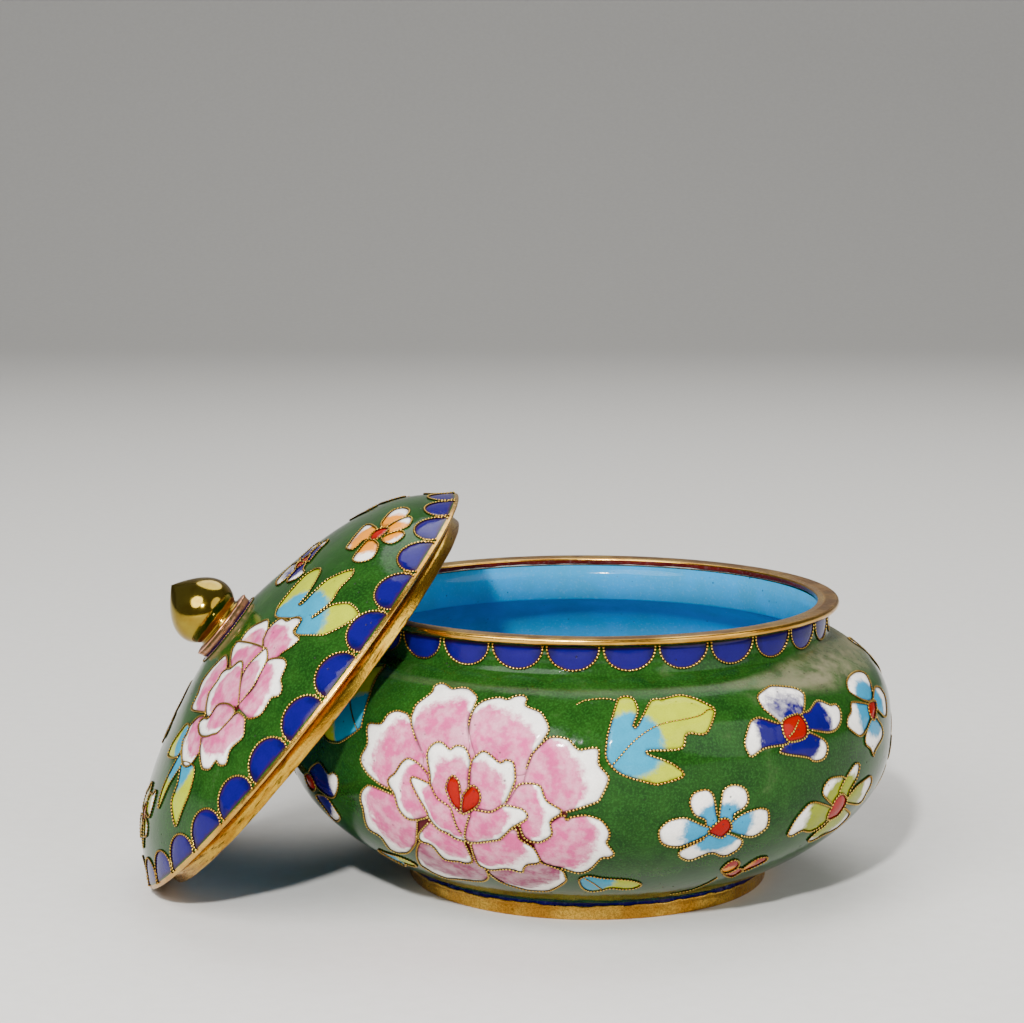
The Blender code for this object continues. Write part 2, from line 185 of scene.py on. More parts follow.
PALE_FLOWER = ((0.5, -0.2), [
    ("pale", [(-0.3, 2), (-1.1, 5.2), (-1.6, 6.1), (-2.5, 6.6), (-4.3, 6.3), (-5, 5.5), (-5.1, 4.4),
        (-4.2, 2.6), (-2.4, 1.6), (-2, 0.5), (-0.7, -0.4), (0.3, 0.3)]),
    ("pale", [(0, 1.9), (0.3, 5.6), (0.8, 6.5), (1.7, 6.9), (2.7, 6.9), (3.8, 6.5), (4.6, 5.8),
        (5, 4.6), (4.9, 3.6), (4.2, 2.8), (2.7, 2), (2.8, 1.1), (2, -0.3), (0.7, 0.2)]),
    ("pale", [(3, 1.2), (4.7, 2.1), (7.1, 2.5), (8.3, 2.3), (9.2, 1.7), (9.8, -0.6), (9.4, -1.8),
        (7.2, -2.9), (3, -1.4), (1.8, -0.3)]),
    ("pale", [(2.7, -1.6), (5.2, -3), (5.8, -4), (5.7, -5.2), (5.1, -6.1), (4.2, -6.8), (2.8, -6.8),
        (0.2, -5.6), (-2.9, -7), (-4.4, -6.6), (-5.5, -5.6), (-5.8, -4.6), (-5.2, -3.9),
        (-2.2, -2.2), (-1.5, -1.5), (0.2, -0.9)]),
    ("pale", [(-2.2, 0.5), (-5.1, 2), (-6.1, 2.3), (-7.3, 2.2), (-8.4, 1.9), (-9.3, 1.2),
        (-9.9, 0.2), (-9.7, -1.2), (-9.1, -2.3), (-8, -3), (-6.7, -3.3), (-5.3, -3.2),
        (-2, -1.6), (-1.3, -0.9), (-0.7, 0)]),
    ("red", [(-1.5, -0.5), (0.3, 1.4), (1.1, 1.6), (1.9, 1.2), (2.4, 0.4), (2.6, -0.6), (1.5, -2.1),
        (0.4, -1.9), (-0.6, -1.4)])])
LIME_FLOWER = ((0.1, 0.3), [
    ("lime", [(-3, 1.8), (-5.5, 3.6), (-5.8, 4.7), (-5.2, 5.6), (-3.9, 6.2), (-0.8, 5.9), (0, 5.3),
        (-0.6, 4), (-0.6, 2.4), (-1.4, 0.9)]),
    ("lime", [(0, 5.1), (2.6, 7), (4, 7.2), (4.8, 6.6), (4.1, 4.6), (2.6, 3), (2.5, 2), (1, 1.7),
        (-1, 3.2)]),
    ("lime", [(2.3, 1.6), (4.7, 3.1), (8.3, 3.7), (10.2, 3.7), (11.4, 2.7), (11.6, 1.4), (10.9, 0.2),
        (11, -1), (8.9, -1.3), (3.3, 0.3), (1.4, 1.1)]),
    ("lime", [(2.2, -0.5), (5.1, -1.6), (7.5, -2.9), (8.1, -4.2), (7.6, -5.3), (6.5, -6.3),
        (2.2, -6.5), (-1.2, -7.2), (-3.1, -6.3), (-2.5, -4.2), (-1.2, -3.5), (-0.3, -2.2)]),
    ("lime", [(-2.1, 0.7), (-6.5, 2.5), (-8.1, 2.8), (-9.2, 2.5), (-10.7, 0.9), (-11.3, -0.4),
        (-11.5, -1.8), (-11.3, -3), (-10, -3.5), (-8, -2.8), (-5.9, -3.5), (-4.4, -3.7),
        (-2.9, -3.3), (-2, -2.6), (-0.8, -0.4)]),
    ("red", [(-2, -1.5), (-2.4, -0.2), (-2.2, 0.9), (-1.9, 2), (-1.1, 2.7), (0.1, 2.8), (1.5, 2),
        (2.5, 0.8), (2, -1.5), (0.9, -2), (-0.7, -2.1)])])
NARROW_FLOWER = ((0.6, 0.4), [
    ("pale", [(0.2, 1.9), (-2, 2.5), (-4.7, 4.2), (-4.9, 5.2), (-3.4, 6.4), (-0.6, 7.1), (2.7, 7.2),
        (5.3, 6.7), (6.4, 5.5), (3.8, 3), (1.9, 1.9)]),
    ("pale", [(-0.4, 1.3), (-5.5, 2.8), (-6.9, 2.6), (-7.8, 1.5), (-9.2, 0.9), (-10, 0),
        (-9.7, -0.9), (-6.3, -2.8), (-3.3, -1.9), (-0.6, 0)]),
    ("pale", [(-1.7, -1.2), (-3.4, -2.2), (-4.5, -3.6), (-4.1, -4.7), (-2.3, -5.7), (-0.8, -7.2),
        (0.1, -6.4), (4.1, -5), (4.2, -3.7), (3.1, -2.5), (1.7, -1.5), (0.8, -0.3)]),
    ("pale", [(2, 1.6), (5.3, 3.1), (8.2, 2.9), (9.6, 1.8), (10, 0.5), (8, -1.9), (6.1, -2),
        (3.9, -0.9), (2.3, 0.3)]),
    ("red", [(-0.5, 1.7), (2.5, 1.5), (2.8, 0.7), (0.8, -1), (-0.3, -1.3), (-1.4, -0.5), (-1.5, 0.7)])])
RED_BUD = ((-3.5, 0), [
    ("bud", [(-5.1, 0.7), (-5.2, 2.2), (-4.8, 3.4), (-3.7, 3.8), (-2.3, 2.8), (-1.5, 1.3),
        (-1.5, -0.2), (-2.6, -0.7), (-3.7, -0.8)]),
    ("bud", [(0.7, -0.5), (0.8, 1), (1.3, 2.2), (2.3, 3), (4.1, 2.8), (5.2, 1.8), (5, 0.5),
        (2.2, -1.7)]),
    ("bud", [(-3.3, -1.3), (-2, -0.9), (-0.9, 0.4), (1.1, -1), (1.2, -2.7), (0.2, -3.7)]),
    ("stem", [(-11.2, -9.7), (-6.4, -8.5), (-4.5, -5.7), (-3.7, -3)])])
LOW_LEAF = ((-5, 2.5), [
    ("leaf", [(-6.2, 1.8), (-5, 3.4), (-3.6, 3.4), (-1.7, 2.7), (3.4, 1.7), (6.2, -0.3), (5.4, -2.2),
        (2.9, -2.5), (0.3, -1.8), (-1.7, -2.9), (-3.8, -3.4), (-5.5, -1.8)]),
    ("line", [(-5, 2.6), (-3.5, 1), (-1.8, -1.8)])])
BROAD_LEAF = ((4.5, -4.7), [
    ("leaf", [(1.3, 7.7), (2.3, 5.1), (4.5, 0.3), (5.3, -3.4), (5, -4.6), (1.3, -7.1), (-0.9, -7.8),
        (-3.4, -7.8), (-5.3, -6.6), (-4.9, -4), (-2, 4.7), (-0.9, 6.7)]),
    ("line", [(4.5, -4.7), (-0.3, 0)])])
DARK_FLOWER = ((-4, 1.6), [
    ("blue", [(-3.7, 3.3), (-2.4, 4.6), (0.2, 5.9), (1.7, 6), (3.9, 4.8), (5.5, 5.3), (6.7, 4.8),
        (6.7, 3.6), (6, 2.3), (4.4, 0.8), (2.4, 0.3), (0.4, 0.6), (-1.5, 1.3), (-2.4, 2.5)]),
    ("blue", [(-1.2, 0), (1.1, 0), (2.2, -0.9), (2.6, -2.4), (2.3, -4.1), (-2, -6.1), (-3.5, -5.3),
        (-3.2, -3.6), (-4.1, -1.1)]),
    ("red", [(-6.2, 2.4), (-3.7, 3.3), (-2.4, 2.5), (-2.1, 1), (-4.6, -0.2), (-6.2, 0.2), (-6.7, 1.2)])])
LID_PEONY = ((-0.9, -3), [
    ("gap", [(-8, -4), (-4, 5), (3, 6), (9, 1), (6, -6), (0, -8)]),
    ("petal", [(4.5, 8.4), (6.9, 9.5), (9.5, 7.4), (10.8, 5.6), (10.2, 2.9), (8.2, 0), (6.9, -0.4),
        (4.4, 5.5)]),
    ("petal", [(11.9, 2.6), (13.1, 1.8), (13.6, -0.3), (14.7, -0.9), (15.5, -2.2), (15.5, -3.4),
        (13.8, -3.9), (13.5, -5.3), (13.7, -6.9), (12.8, -7.3), (10.6, -6.9), (7.2, -5.2),
        (8.3, 0.3), (9.2, 1.7), (10.1, 2.6)]),
    ("petal", [(1.1, 3.7), (2.4, 8.6), (3.4, 9.4), (4.5, 8.8), (8, -1.5), (6.4, -1.9), (5, -1.8),
        (3.6, -2), (2.4, -1)]),
    ("petal", [(7.5, -5.2), (9.5, -7.6), (9.8, -8.9), (9.2, -9.8), (7.4, -10.8), (6.8, -11.8),
        (6, -12.4), (5.1, -12.4), (4.2, -11.9), (1.3, -12.3), (-0.6, -11.2), (-0.9, -10.1),
        (-0.9, -6.9), (2.3, -7.4), (3.8, -7), (5.3, -5.9)]),
    ("petal", [(7.4, -1.8), (8.3, -2.1), (7.9, -4.1), (7, -5.2), (5.1, -6.3), (2.7, -7.2), (-0.9, -7),
        (-0.8, -5.6), (2.2, -2.3), (3.2, -1.7), (4.6, -1.4)]),
    ("petal", [(1.1, 8.7), (0.8, 5.9), (-0.2, 4.9), (-1.5, 4.1), (-3, 4), (-4.3, 3.4), (-6.6, 1.5),
        (-7.7, 3.3), (-9.4, 8.8), (-7.2, 10.3), (-5, 12.4), (0.3, 10.5)]),
    ("petal", [(3.1, 2.2), (3.3, 0.1), (0.7, -4.7), (-0.3, -6.2), (-1.2, -7), (-4, -2.8),
        (-5.7, -1.8), (-6.7, -0.6), (-6.7, 1.3), (-4.9, 4.7), (-3.6, 5), (-2.2, 5),
        (-0.9, 5.5), (0.3, 4.7), (1.1, 3.4)]),
    ("petal", [(-7.1, 0.1), (-8.9, 1.4), (-9.5, -1.1), (-9.5, -3.2), (-10.3, -4), (-11.5, -4.5),
        (-13.7, -4), (-14.7, -3.1), (-15.4, -1.5), (-15.2, 0.6), (-13.6, 3.8), (-12.1, 3.9),
        (-11, 4.3), (-9.5, 3.6), (-8.2, 2.5)]),
    ("petal", [(-2, -8), (-1.3, -9.1), (-1.2, -10.4), (-2, -11.2), (-3.5, -12), (-6.4, -11.2),
        (-8.4, -11.6), (-9.2, -11.2), (-9.7, -10.4), (-9.7, -9.6), (-11.4, -9.1),
        (-12.2, -8.1), (-12.4, -7.2), (-11.1, -4.4), (-10.3, -3.5), (-9.4, -2.9), (-6, -6.2)]),
    ("petal", [(-1.8, -7), (-2.1, -4.8), (-3.1, -2.7), (-4.3, -1.4), (-6.7, -1.2), (-7.6, 0.4),
        (-8.7, 1), (-9.5, -0.2), (-9.6, -2.1), (-8.7, -4.1), (-7.5, -5.6), (-6.3, -6.8),
        (-2.7, -7.8)])])
LID_LEAF = ((-6, -2), [
    ("leaf", [(-7.2, 3.5), (-6.5, 6), (-5.2, 7.3), (-0.7, 9.7), (0.8, 9.9), (2.2, 9.3), (3, 7.5),
        (2, 5.2), (-0.1, 2.8), (-1.4, 1.8), (-2.8, 1.2), (-2, 0.6), (2.4, 2.1), (3.9, 2),
        (6.8, 0.6), (7.2, -0.2), (6.3, -1.4), (3.8, -2.8), (1.4, -4.7), (-2.2, -5),
        (-1.2, -5.4), (1.3, -5.3), (3.3, -6.4), (3.7, -7.4), (3.7, -8.6), (3.2, -9.4),
        (0.7, -9.9), (-1.9, -9.8), (-3.2, -9.2), (-5.4, -6.8), (-5.8, -5.2), (-3.9, -3.5),
        (-4.2, -1.9), (-5.3, -0.6)])])
FAN_LEAF = ((4.5, 1.5), [
    ("leaf", [(2.4, -1.7), (4.2, -6.1), (3.6, -7.4), (2.2, -7.8), (0.6, -7.8), (-1.2, -7.4),
        (-5, -6.1), (-5.6, -5.2), (-4, -3.5), (-2.9, -3.2), (-1.5, -3.4), (0, -3.3)]),
    ("leaf", [(3, 0.6), (0.3, 1.7), (-3.8, 2.6), (-6.8, 1.8), (-5.7, 0.8), (-1.9, -0.2), (2, -1.7)]),
    ("leaf", [(6.2, 5.4), (2.3, 7.7), (0.8, 7.8), (-0.2, 7), (1.1, 2.9), (2.8, 1.1), (6.3, 1.9),
        (6.8, 3.5)])])
SUN_FLOWER = ((-0.1, -1.1), [
    ("sun", [(1, 2.8), (3.1, 7.5), (4.1, 8.3), (4.9, 8.1), (5.4, 6.3), (5, 4.3), (4.1, 2.8),
        (2.2, 1.4), (1.1, 0)]),
    ("sun", [(1.2, -0.1), (2.3, 1.3), (4.2, 2.7), (4.9, 2.7), (4.9, 1.3), (4, -0.9), (3.1, -1.6),
        (1.6, -2.3), (1.1, -1.8)]),
    ("sun", [(0.1, -2.7), (1.9, -2.1), (2.7, -2.2), (2.8, -3.4), (2.2, -4.5), (1.2, -5.4),
        (0.4, -5.6), (-0.1, -5), (-0.3, -4)]),
    ("sun", [(-1.6, -1.7), (-1.1, -4.5), (-1.7, -6.3), (-2.6, -7.7), (-3.6, -8.3), (-4.6, -8.1),
        (-5.3, -7.3), (-5.4, -5.8), (-3.7, -3.6)]),
    ("sun", [(0, 0.8), (-0.2, 3.6), (-0.7, 5.4), (-1.6, 5.9), (-5.1, 0.6), (-5.4, -0.5),
        (-4.8, -2.2), (-3.7, -2), (-2.7, -1.1), (-1.5, -1.3)]),
    ("red", [(-1.4, -0.9), (-0.7, 0.2), (0.1, 0.6), (1, 0.5), (1.4, -0.8), (-0.1, -2.5),
        (-1.1, -2.9), (-1.6, -2.3)])])

# Where each motif sits: (outlines, across, up, turn in degrees, size). On the jar the places are
# millimetres along the belly from the front and up the side from the belly's widest line.
JAR_LAYOUT = [
    (JAR_PEONY, -20.4, -3.8, 0, 1.0), (JAR_LEAF, 10.9, 9.0, 0, 1.0), (BLUE_FLOWER, 35.8, 9.0, 0, 1.0),
    (PALE_FLOWER, 19.8, -6.4, 0, 1.0), (LIME_FLOWER, 46.7, -7.5, 0, 1.0),
    (NARROW_FLOWER, 58.1, 6.8, 0, 1.0), (RED_BUD, 30.1, -18.9, 0, 1.0), (LOW_LEAF, 3.1, -20.8, 0, 1.0),
    (BROAD_LEAF, -47.8, 11.3, 0, 1.0), (DARK_FLOWER, -54.9, -6.9, 0, 1.0),
    (LOW_LEAF, -44.5, -20.5, 12, 0.8), (PALE_FLOWER, 81.0, -5.0, 35, 0.95), (SUN_FLOWER, 88.0, 11.5, 80, 0.9),
]
# On the lid they are millimetres from the knob towards the lid's top and away from the front.
LID_LAYOUT = [
    (LID_PEONY, -2.0, -24.7, 0, 1.0), (LID_LEAF, 17.5, -24.3, 0, 1.0), (FAN_LEAF, -19.9, -23.1, 0, 1.0),
    (SUN_FLOWER, 31.1, -15.0, 0, 1.0), (BLUE_FLOWER, 17.5, -4.5, 70, 0.72),
    (LIME_FLOWER, -31.0, -12.0, 120, 0.62),
]
# Colours of the cells: (inside, outside, where the change starts and ends as a share of the way
# from the motif's root to the cell's far end, how much of the outside colour clouds the inside, and
# how far from the root the cell's own wire starts, in millimetres).
CELL_INKS = {
    "outer": ("pink", "white", 0.56, 0.86, 0.24, 12.5),
    "petal": ("pink", "white", 0.55, 0.88, 0.24, 0.0),
    "mauve": ("mauve", "white", 0.60, 0.94, 0.24, 0.0),
    "blush": ("pink", "white", 0.90, 1.60, 0.24, 0.0),
    "red": ("red", "red", 0.0, 1.0, 0.0, 0.0),
    "leaf": ("turquoise", "leaf_green", 0.38, 0.58, 0.0, 0.0),
    "tall_leaf": ("turquoise", "leaf_green", 0.22, 0.40, 0.0, 0.0),
    "blue": ("dark_blue", "white", 0.54, 0.86, 0.0, 0.0),
    "frost": ("dark_blue", "white", 0.30, 1.15, 0.42, 0.0),
    "pale": ("light_blue", "white", 0.42, 0.74, 0.0, 0.0),
    "lime": ("olive", "white", 0.50, 0.84, 0.0, 0.0),
    "bud": ("orange", "red", 0.05, 0.60, 0.0, 0.0),
    "sun": ("orange", "white", 0.46, 0.80, 0.0, 0.0),
    "gap": ("maroon", "maroon", 0.0, 1.0, 0.0, 0.0),
}
# Kinds of cells without a wire, and kinds that are a wire alone
UNWIRED, BARE_WIRES = ("gap", "blush"), ("line", "stem")
# Gilt finishes: (colour, tarnish, roughness, grain in millimetres, how spotted). The tarnish colour
# also paints shade down the wires' sides and a dark reflection on the rim's flat top.
GILDINGS = {
    "beaded gilt wire": ("F0CA5C", "1C0E04", 0.20, 0.01, 0.4),
    # The rim's finish also paints its flat top dark in patches, a painted dark reflection.
    "rubbed gilt rim": ("DCAE4A", "4E3214", 0.20, 0.012, 0.5),
    "sandy gilt foot": ("DEB048", "6A4616", 0.30, 0.09, 0.4),
    "thin gilt edge": ("E0B452", "583A14", 0.22, 0.03, 0.5),
    "brushed gilt ring": ("D0A638", "34240A", 0.20, 0.04, 1.0),
    "coppery gilt collar": ("F0B494", "B06A4C", 0.32, 0.004, 0.1),
    "polished gilt bud": ("9E8A34", "4E4614", 0.11, 0.006, 0.2),
}

# Stage, in metres: half the paper's width, where it starts and ends, its bend and its height; then
# the lights as (name, place, width, watts), and the point that they face
SWEEP_HALF, SWEEP_FRONT, SWEEP_BACK, SWEEP_BEND, SWEEP_TOP = 9.0, -9.0, 2.0, 0.8, 3.0
LIGHTS = [("key", (-0.55, -0.75, 0.85), 0.8, 16.0), ("fill", (0.9, -0.6, 0.5), 1.0, 7.0),
          ("top", (0.1, 0.45, 0.9), 0.9, 8.0), ("lamp", (-0.10, -0.62, 0.42), 0.04, 8.0)]
LIT_POINT = (0.0, 0.0, 0.03)
# Camera: its place from the jar's axis in millimetres, its dip, and its lens as pixels of the frame
CAMERA_PLACE, CAMERA_DIP = (-13.25, -445.71, 125.48), 0.1379
LENS_PIXELS, FRAME_PIXELS, SENSOR = 2600, 1024, 36.0


def power_curve(start, end, exponent, count):
    """Profile points from start to end.

    The height changes evenly, and the radius leaves the start's by the share gone to a power.
    """
    share = np.linspace(0.0, 1.0, count)
    return np.stack([start[0] + (end[0] - start[0]) * share ** exponent,
                     start[1] + (end[1] - start[1]) * share], axis=1)


def jar_side(wall, band_top, steps=SIDE_STEPS):
    """Side of the bowl from its base to the foot of the neck, drawn in and down by the wall."""
    belly = (BELLY_RADIUS - wall, BELLY_HEIGHT)
    low = power_curve(belly, (BASE_RADIUS - wall, band_top), BELLY_FULLNESS, steps)[::-1]
    high = power_curve(belly, (NECK_RADIUS - wall, NECK_FOOT - 1.15 * wall), SHOULDER_FULLNESS, steps)
    return np.concatenate([low, high[1:]])


def cubic(t, start, end, start_slope, end_slope):
    """A cubic from start to end, as t goes from nought to one, with the given slopes at its ends."""
    return ((1 + 2 * t) * (1 - t) ** 2 * start + t * (1 - t) ** 2 * start_slope
            + t * t * (3 - 2 * t) * end - t * t * (1 - t) * end_slope)


def dome_height(radius):
    """Height of the dome: a cubic curve through the section, level in the middle.

    At each point of the section the slope is the one between its two neighbours.
    """
    radii, heights = LID_SECTION.T
    slopes = np.gradient(heights, radii)
    slopes[0] = 0.0
    i = np.clip(np.searchsorted(radii, radius) - 1, 0, len(radii) - 2)
    length = radii[i + 1] - radii[i]
    return cubic((radius - radii[i]) / length, heights[i], heights[i + 1],
                   length * slopes[i], length * slopes[i + 1])


def unit(vectors):
    """The given vectors, each made one long."""
    return vectors / np.maximum(np.linalg.norm(vectors, axis=-1, keepdims=True), 1e-9)


def middle_of(node):
    """Middle of a CAD node's box, in millimetres."""
    low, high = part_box(node)
    return (np.array(low) + np.array(high)) / (2.0 * MM)


JAR_AXIS = middle_of("mouth_rim") * (1.0, 1.0, 0.0)
# Rows: towards the lid's top, away from the front, and out along the knob.
LID_AXES = np.array([
    (math.cos(LID_LEAN) * math.cos(LID_TURN), math.cos(LID_LEAN) * math.sin(LID_TURN), math.sin(LID_LEAN)),
    (-math.sin(LID_TURN), math.cos(LID_TURN), 0.0),
    (-math.sin(LID_LEAN) * math.cos(LID_TURN), -math.sin(LID_LEAN) * math.sin(LID_TURN), math.cos(LID_LEAN))])
LID_MIDDLE = middle_of("lid_flange") + LID_AXES[2] * (SEAT_GAP + FLANGE_LOW) / 2.0
JAR_SIDE = np.concatenate([jar_side(0.0, BAND_TOP), [(NECK_RADIUS, NECK_TOP)]])
SIDE_LENGTH = np.concatenate([[0.0], np.cumsum(np.hypot(*np.diff(JAR_SIDE, axis=0).T))])
SIDE_LENGTH -= SIDE_LENGTH[SIDE_STEPS - 1]


def upright(points):
    """Puts points of the jar's own frame where the jar stands."""
    return points + JAR_AXIS


def leaning(points):
    """Puts points of the lid's own frame where the lid leans."""
    return points @ LID_AXES + LID_MIDDLE


def on_jar(flat):
    """Points and outward directions on the jar's side for (along the belly, up the side)."""
    angle = flat[:, 0] / BELLY_RADIUS
    radius = np.interp(flat[:, 1], SIDE_LENGTH, JAR_SIDE[:, 0])
    height = np.interp(flat[:, 1], SIDE_LENGTH, JAR_SIDE[:, 1])
    tilt = np.gradient(JAR_SIDE, SIDE_LENGTH, axis=0)
    out, up = (np.interp(flat[:, 1], SIDE_LENGTH, tilt[:, i]) for i in (1, 0))
    size = np.hypot(out, up)
    around = np.stack([np.sin(angle), -np.cos(angle), np.zeros_like(angle)], axis=1)
    points = around * radius[:, None] + np.stack([0 * angle, 0 * angle, height], axis=1)
    normals = around * (out / size)[:, None] + np.stack([0 * angle, 0 * angle, -up / size], axis=1)
    return upright(points), normals


def on_lid(flat):
    """Points and outward directions on the dome for plan places in the lid's own frame."""
    radius = np.maximum(np.hypot(flat[:, 0], flat[:, 1]), 1e-6)
    slope = (dome_height(radius + 0.01) - dome_height(np.maximum(radius - 0.01, 0.0))) / 0.02
    points = np.column_stack([flat, dome_height(radius)])
    normals = np.column_stack([-slope[:, None] * flat / radius[:, None], np.ones_like(radius)])
    return leaning(points), unit(normals) @ LID_AXES


def new_piece(name, points, faces, materials, replaces=None, face_materials=None):
    """An object from points in millimetres and whole arrays of faces, riding on the jar's body."""
    mesh = bpy.data.meshes.new(name)
    mesh.vertices.add(len(points))
    mesh.vertices.foreach_set("co", (points * MM).astype(np.float32).ravel())
    corners = np.concatenate([part.ravel() for part in faces]).astype(np.int32)
    sizes = np.concatenate([np.full(len(part), part.shape[1]) for part in faces])
    mesh.loops.add(len(corners))
    mesh.loops.foreach_set("vertex_index", corners)
    mesh.polygons.add(len(sizes))
    mesh.polygons.foreach_set("loop_start", (np.cumsum(sizes) - sizes).astype(np.int32))
    if face_materials is not None:
        mesh.polygons.foreach_set("material_index", np.concatenate(face_materials).astype(np.int32))
    mesh.update(calc_edges=True)
    mesh.validate()
    for finish in materials:
        mesh.materials.append(finish)
    mesh.shade_smooth()
    result = bpy.data.objects.new(name, mesh)
    bpy.context.scene.collection.objects.link(result)
    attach(result, "root")
    if replaces:
        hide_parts(replaces)
    return result


def grid_quads(rows, columns, wrap_rows, wrap_columns):
    """Four-cornered faces between neighbours in a grid of points, and across its ends if it wraps."""
    i, j = np.meshgrid(np.arange(rows if wrap_rows else rows - 1),
                       np.arange(columns if wrap_columns else columns - 1), indexing="ij")
    i2, j2 = (i + 1) % rows, (j + 1) % columns
    return np.stack([i * columns + j, i * columns + j2, i2 * columns + j2, i2 * columns + j],
                    axis=-1).reshape(-1, 4)


def fan(tip, first, steps, backwards):
    """Triangles from a tip to each side of the ring of points that starts at first."""
    here, ahead = first + np.arange(steps), first + (np.arange(steps) + 1) % steps
    return np.stack([np.full(steps, tip), *((ahead, here) if backwards else (here, ahead))], axis=1)


def joined(groups):
    """One profile from groups of (zone, part, part...). Returns its points and the zone of each."""
    points = [np.concatenate(parts) for _, *parts in groups]
    zones = [np.full(len(part), group[0]) for part, group in zip(points, groups)]
    return np.concatenate(points), np.concatenate(zones)


def turned(profile, steps, zones):
    """A surface turned about Z: at each step the profile's (radius, height) is carried round.

    A profile that starts and ends on the axis is closed by a pole at each end, and any other is
    a ring. Profiles run anticlockwise, so that the faces point outwards. Returns the points,
    the face arrays and the zone of each face.
    """
    poles = profile[0, 0] == 0.0
    rings = profile[1:-1] if poles else profile
    angle = np.arange(steps) * math.tau / steps
    grid = np.stack([rings[:, :1] * np.cos(angle), rings[:, :1] * np.sin(angle),
                     np.repeat(rings[:, 1:], steps, axis=1)], axis=-1).reshape(-1, 3)
    quads = grid_quads(len(rings), steps, not poles, True)
    if not poles:
        return grid, [quads], [np.repeat(zones, steps)]
    ends = np.array([(0.0, 0.0, profile[0, 1]), (0.0, 0.0, profile[-1, 1])])
    fans = np.concatenate([fan(len(grid), 0, steps, True),
                           fan(len(grid) + 1, (len(rings) - 1) * steps, steps, False)])
    fan_zones = np.repeat([zones[0], zones[-1]], steps)
    return np.concatenate([grid, ends]), [quads, fans], [np.repeat(zones[1:len(rings)], steps), fan_zones]


def turned_piece(name, groups, steps, place, finishes, replaces, worked=None):
    """Makes a turned piece and puts it in its place; worked(points) changes its points before that."""
    profile, zones = joined(groups)
    points, faces, face_zones = turned(profile, steps, zones)
    if worked:
        worked(points)
    new_piece(name, place(points), faces, finishes, replaces, face_zones)


def ripples(points, counts, phases, depths):
    """Sum of sines of the angle round the axis, each with its own count, phase and depth."""
    angle = np.arctan2(points[:, 1], points[:, 0])[:, None]
    return np.sin(angle * counts + phases) @ depths


def corner(centre, radius, start, end, count=7):
    """Profile points of a round corner, from one angle in degrees to another."""
    angle = np.radians(np.linspace(start, end, count))
    return np.stack([centre[0] + radius * np.cos(angle), centre[1] + radius * np.sin(angle)], axis=1)


def smooth_curve(points, closed, per_step=8):
    """Points along a cubic through the given ones, whose slope at each is half of the step
    between its neighbours."""
    points = np.asarray(points, float)
    before = np.roll(points, 1, axis=0) if closed else np.concatenate([points[:1], points[:-1]])
    after = np.roll(points, -1, axis=0) if closed else np.concatenate([points[1:], points[-1:]])
    slope = (after - before) / 2.0
    ends, end_slope = (after, np.roll(slope, -1, axis=0)) if closed else (after[:-1], slope[1:])
    count = len(ends)
    t = (np.arange(per_step) / per_step)[None, :, None]
    curve = cubic(t, points[:count, None], ends[:, None], slope[:count, None], end_slope[:, None])
    curve = curve.reshape(-1, 2)
    return curve if closed else np.concatenate([curve, points[-1:]])


def circle(radius, start, count):
    """Points of a flat circle, from an angle in radians."""
    angle = start + np.arange(count) * math.tau / count
    return radius * np.stack([np.cos(angle), np.sin(angle)], axis=1)


def evenly(points, lengths, count):
    """Points at count even steps of the given running length."""
    wanted = np.linspace(0.0, lengths[-1], count)
    return np.stack([np.interp(wanted, lengths, points[:, k]) for k in range(points.shape[1])], axis=1)


def running_length(points):
    """Length along a line of points up to each of them."""
    return np.concatenate([[0.0], np.cumsum(np.linalg.norm(np.diff(points, axis=0), axis=1))])


def inside(points, outline):
    """Whether each point is inside an outline: a line to its right crosses the outline an odd
    number of times."""
    start, end = outline, np.roll(outline, -1, axis=0)
    px, py = points[:, :1], points[:, 1:]
    spans = (start[:, 1] > py) != (end[:, 1] > py)
    rise = np.where(end[:, 1] == start[:, 1], 1e-9, end[:, 1] - start[:, 1])
    crossing = start[:, 0] + (py - start[:, 1]) * (end[:, 0] - start[:, 0]) / rise
    return (spans & (px < crossing)).sum(axis=1) % 2 == 1


def distance(points, outline):
    """Distance from each point to the nearest side of a closed outline."""
    side = np.roll(outline, -1, axis=0) - outline
    length = np.maximum((side ** 2).sum(axis=1), 1e-12)
    offset = points[:, None] - outline
    share = np.clip((offset * side).sum(axis=2) / length, 0.0, 1.0)
    return np.linalg.norm(offset - share[..., None] * side, axis=2).min(axis=1)


def placed(outline, x, y, turn, size):
    """An outline turned, scaled and moved to its place."""
    c, s = math.cos(math.radians(turn)), math.sin(math.radians(turn))
    return np.asarray(outline, float) @ np.array([(c, s), (-s, c)]) * size + (x, y)


def smooth_step(share):
    """Nought to one with level ends."""
    share = np.clip(share, 0.0, 1.0)
    return share * share * (3 - 2 * share)


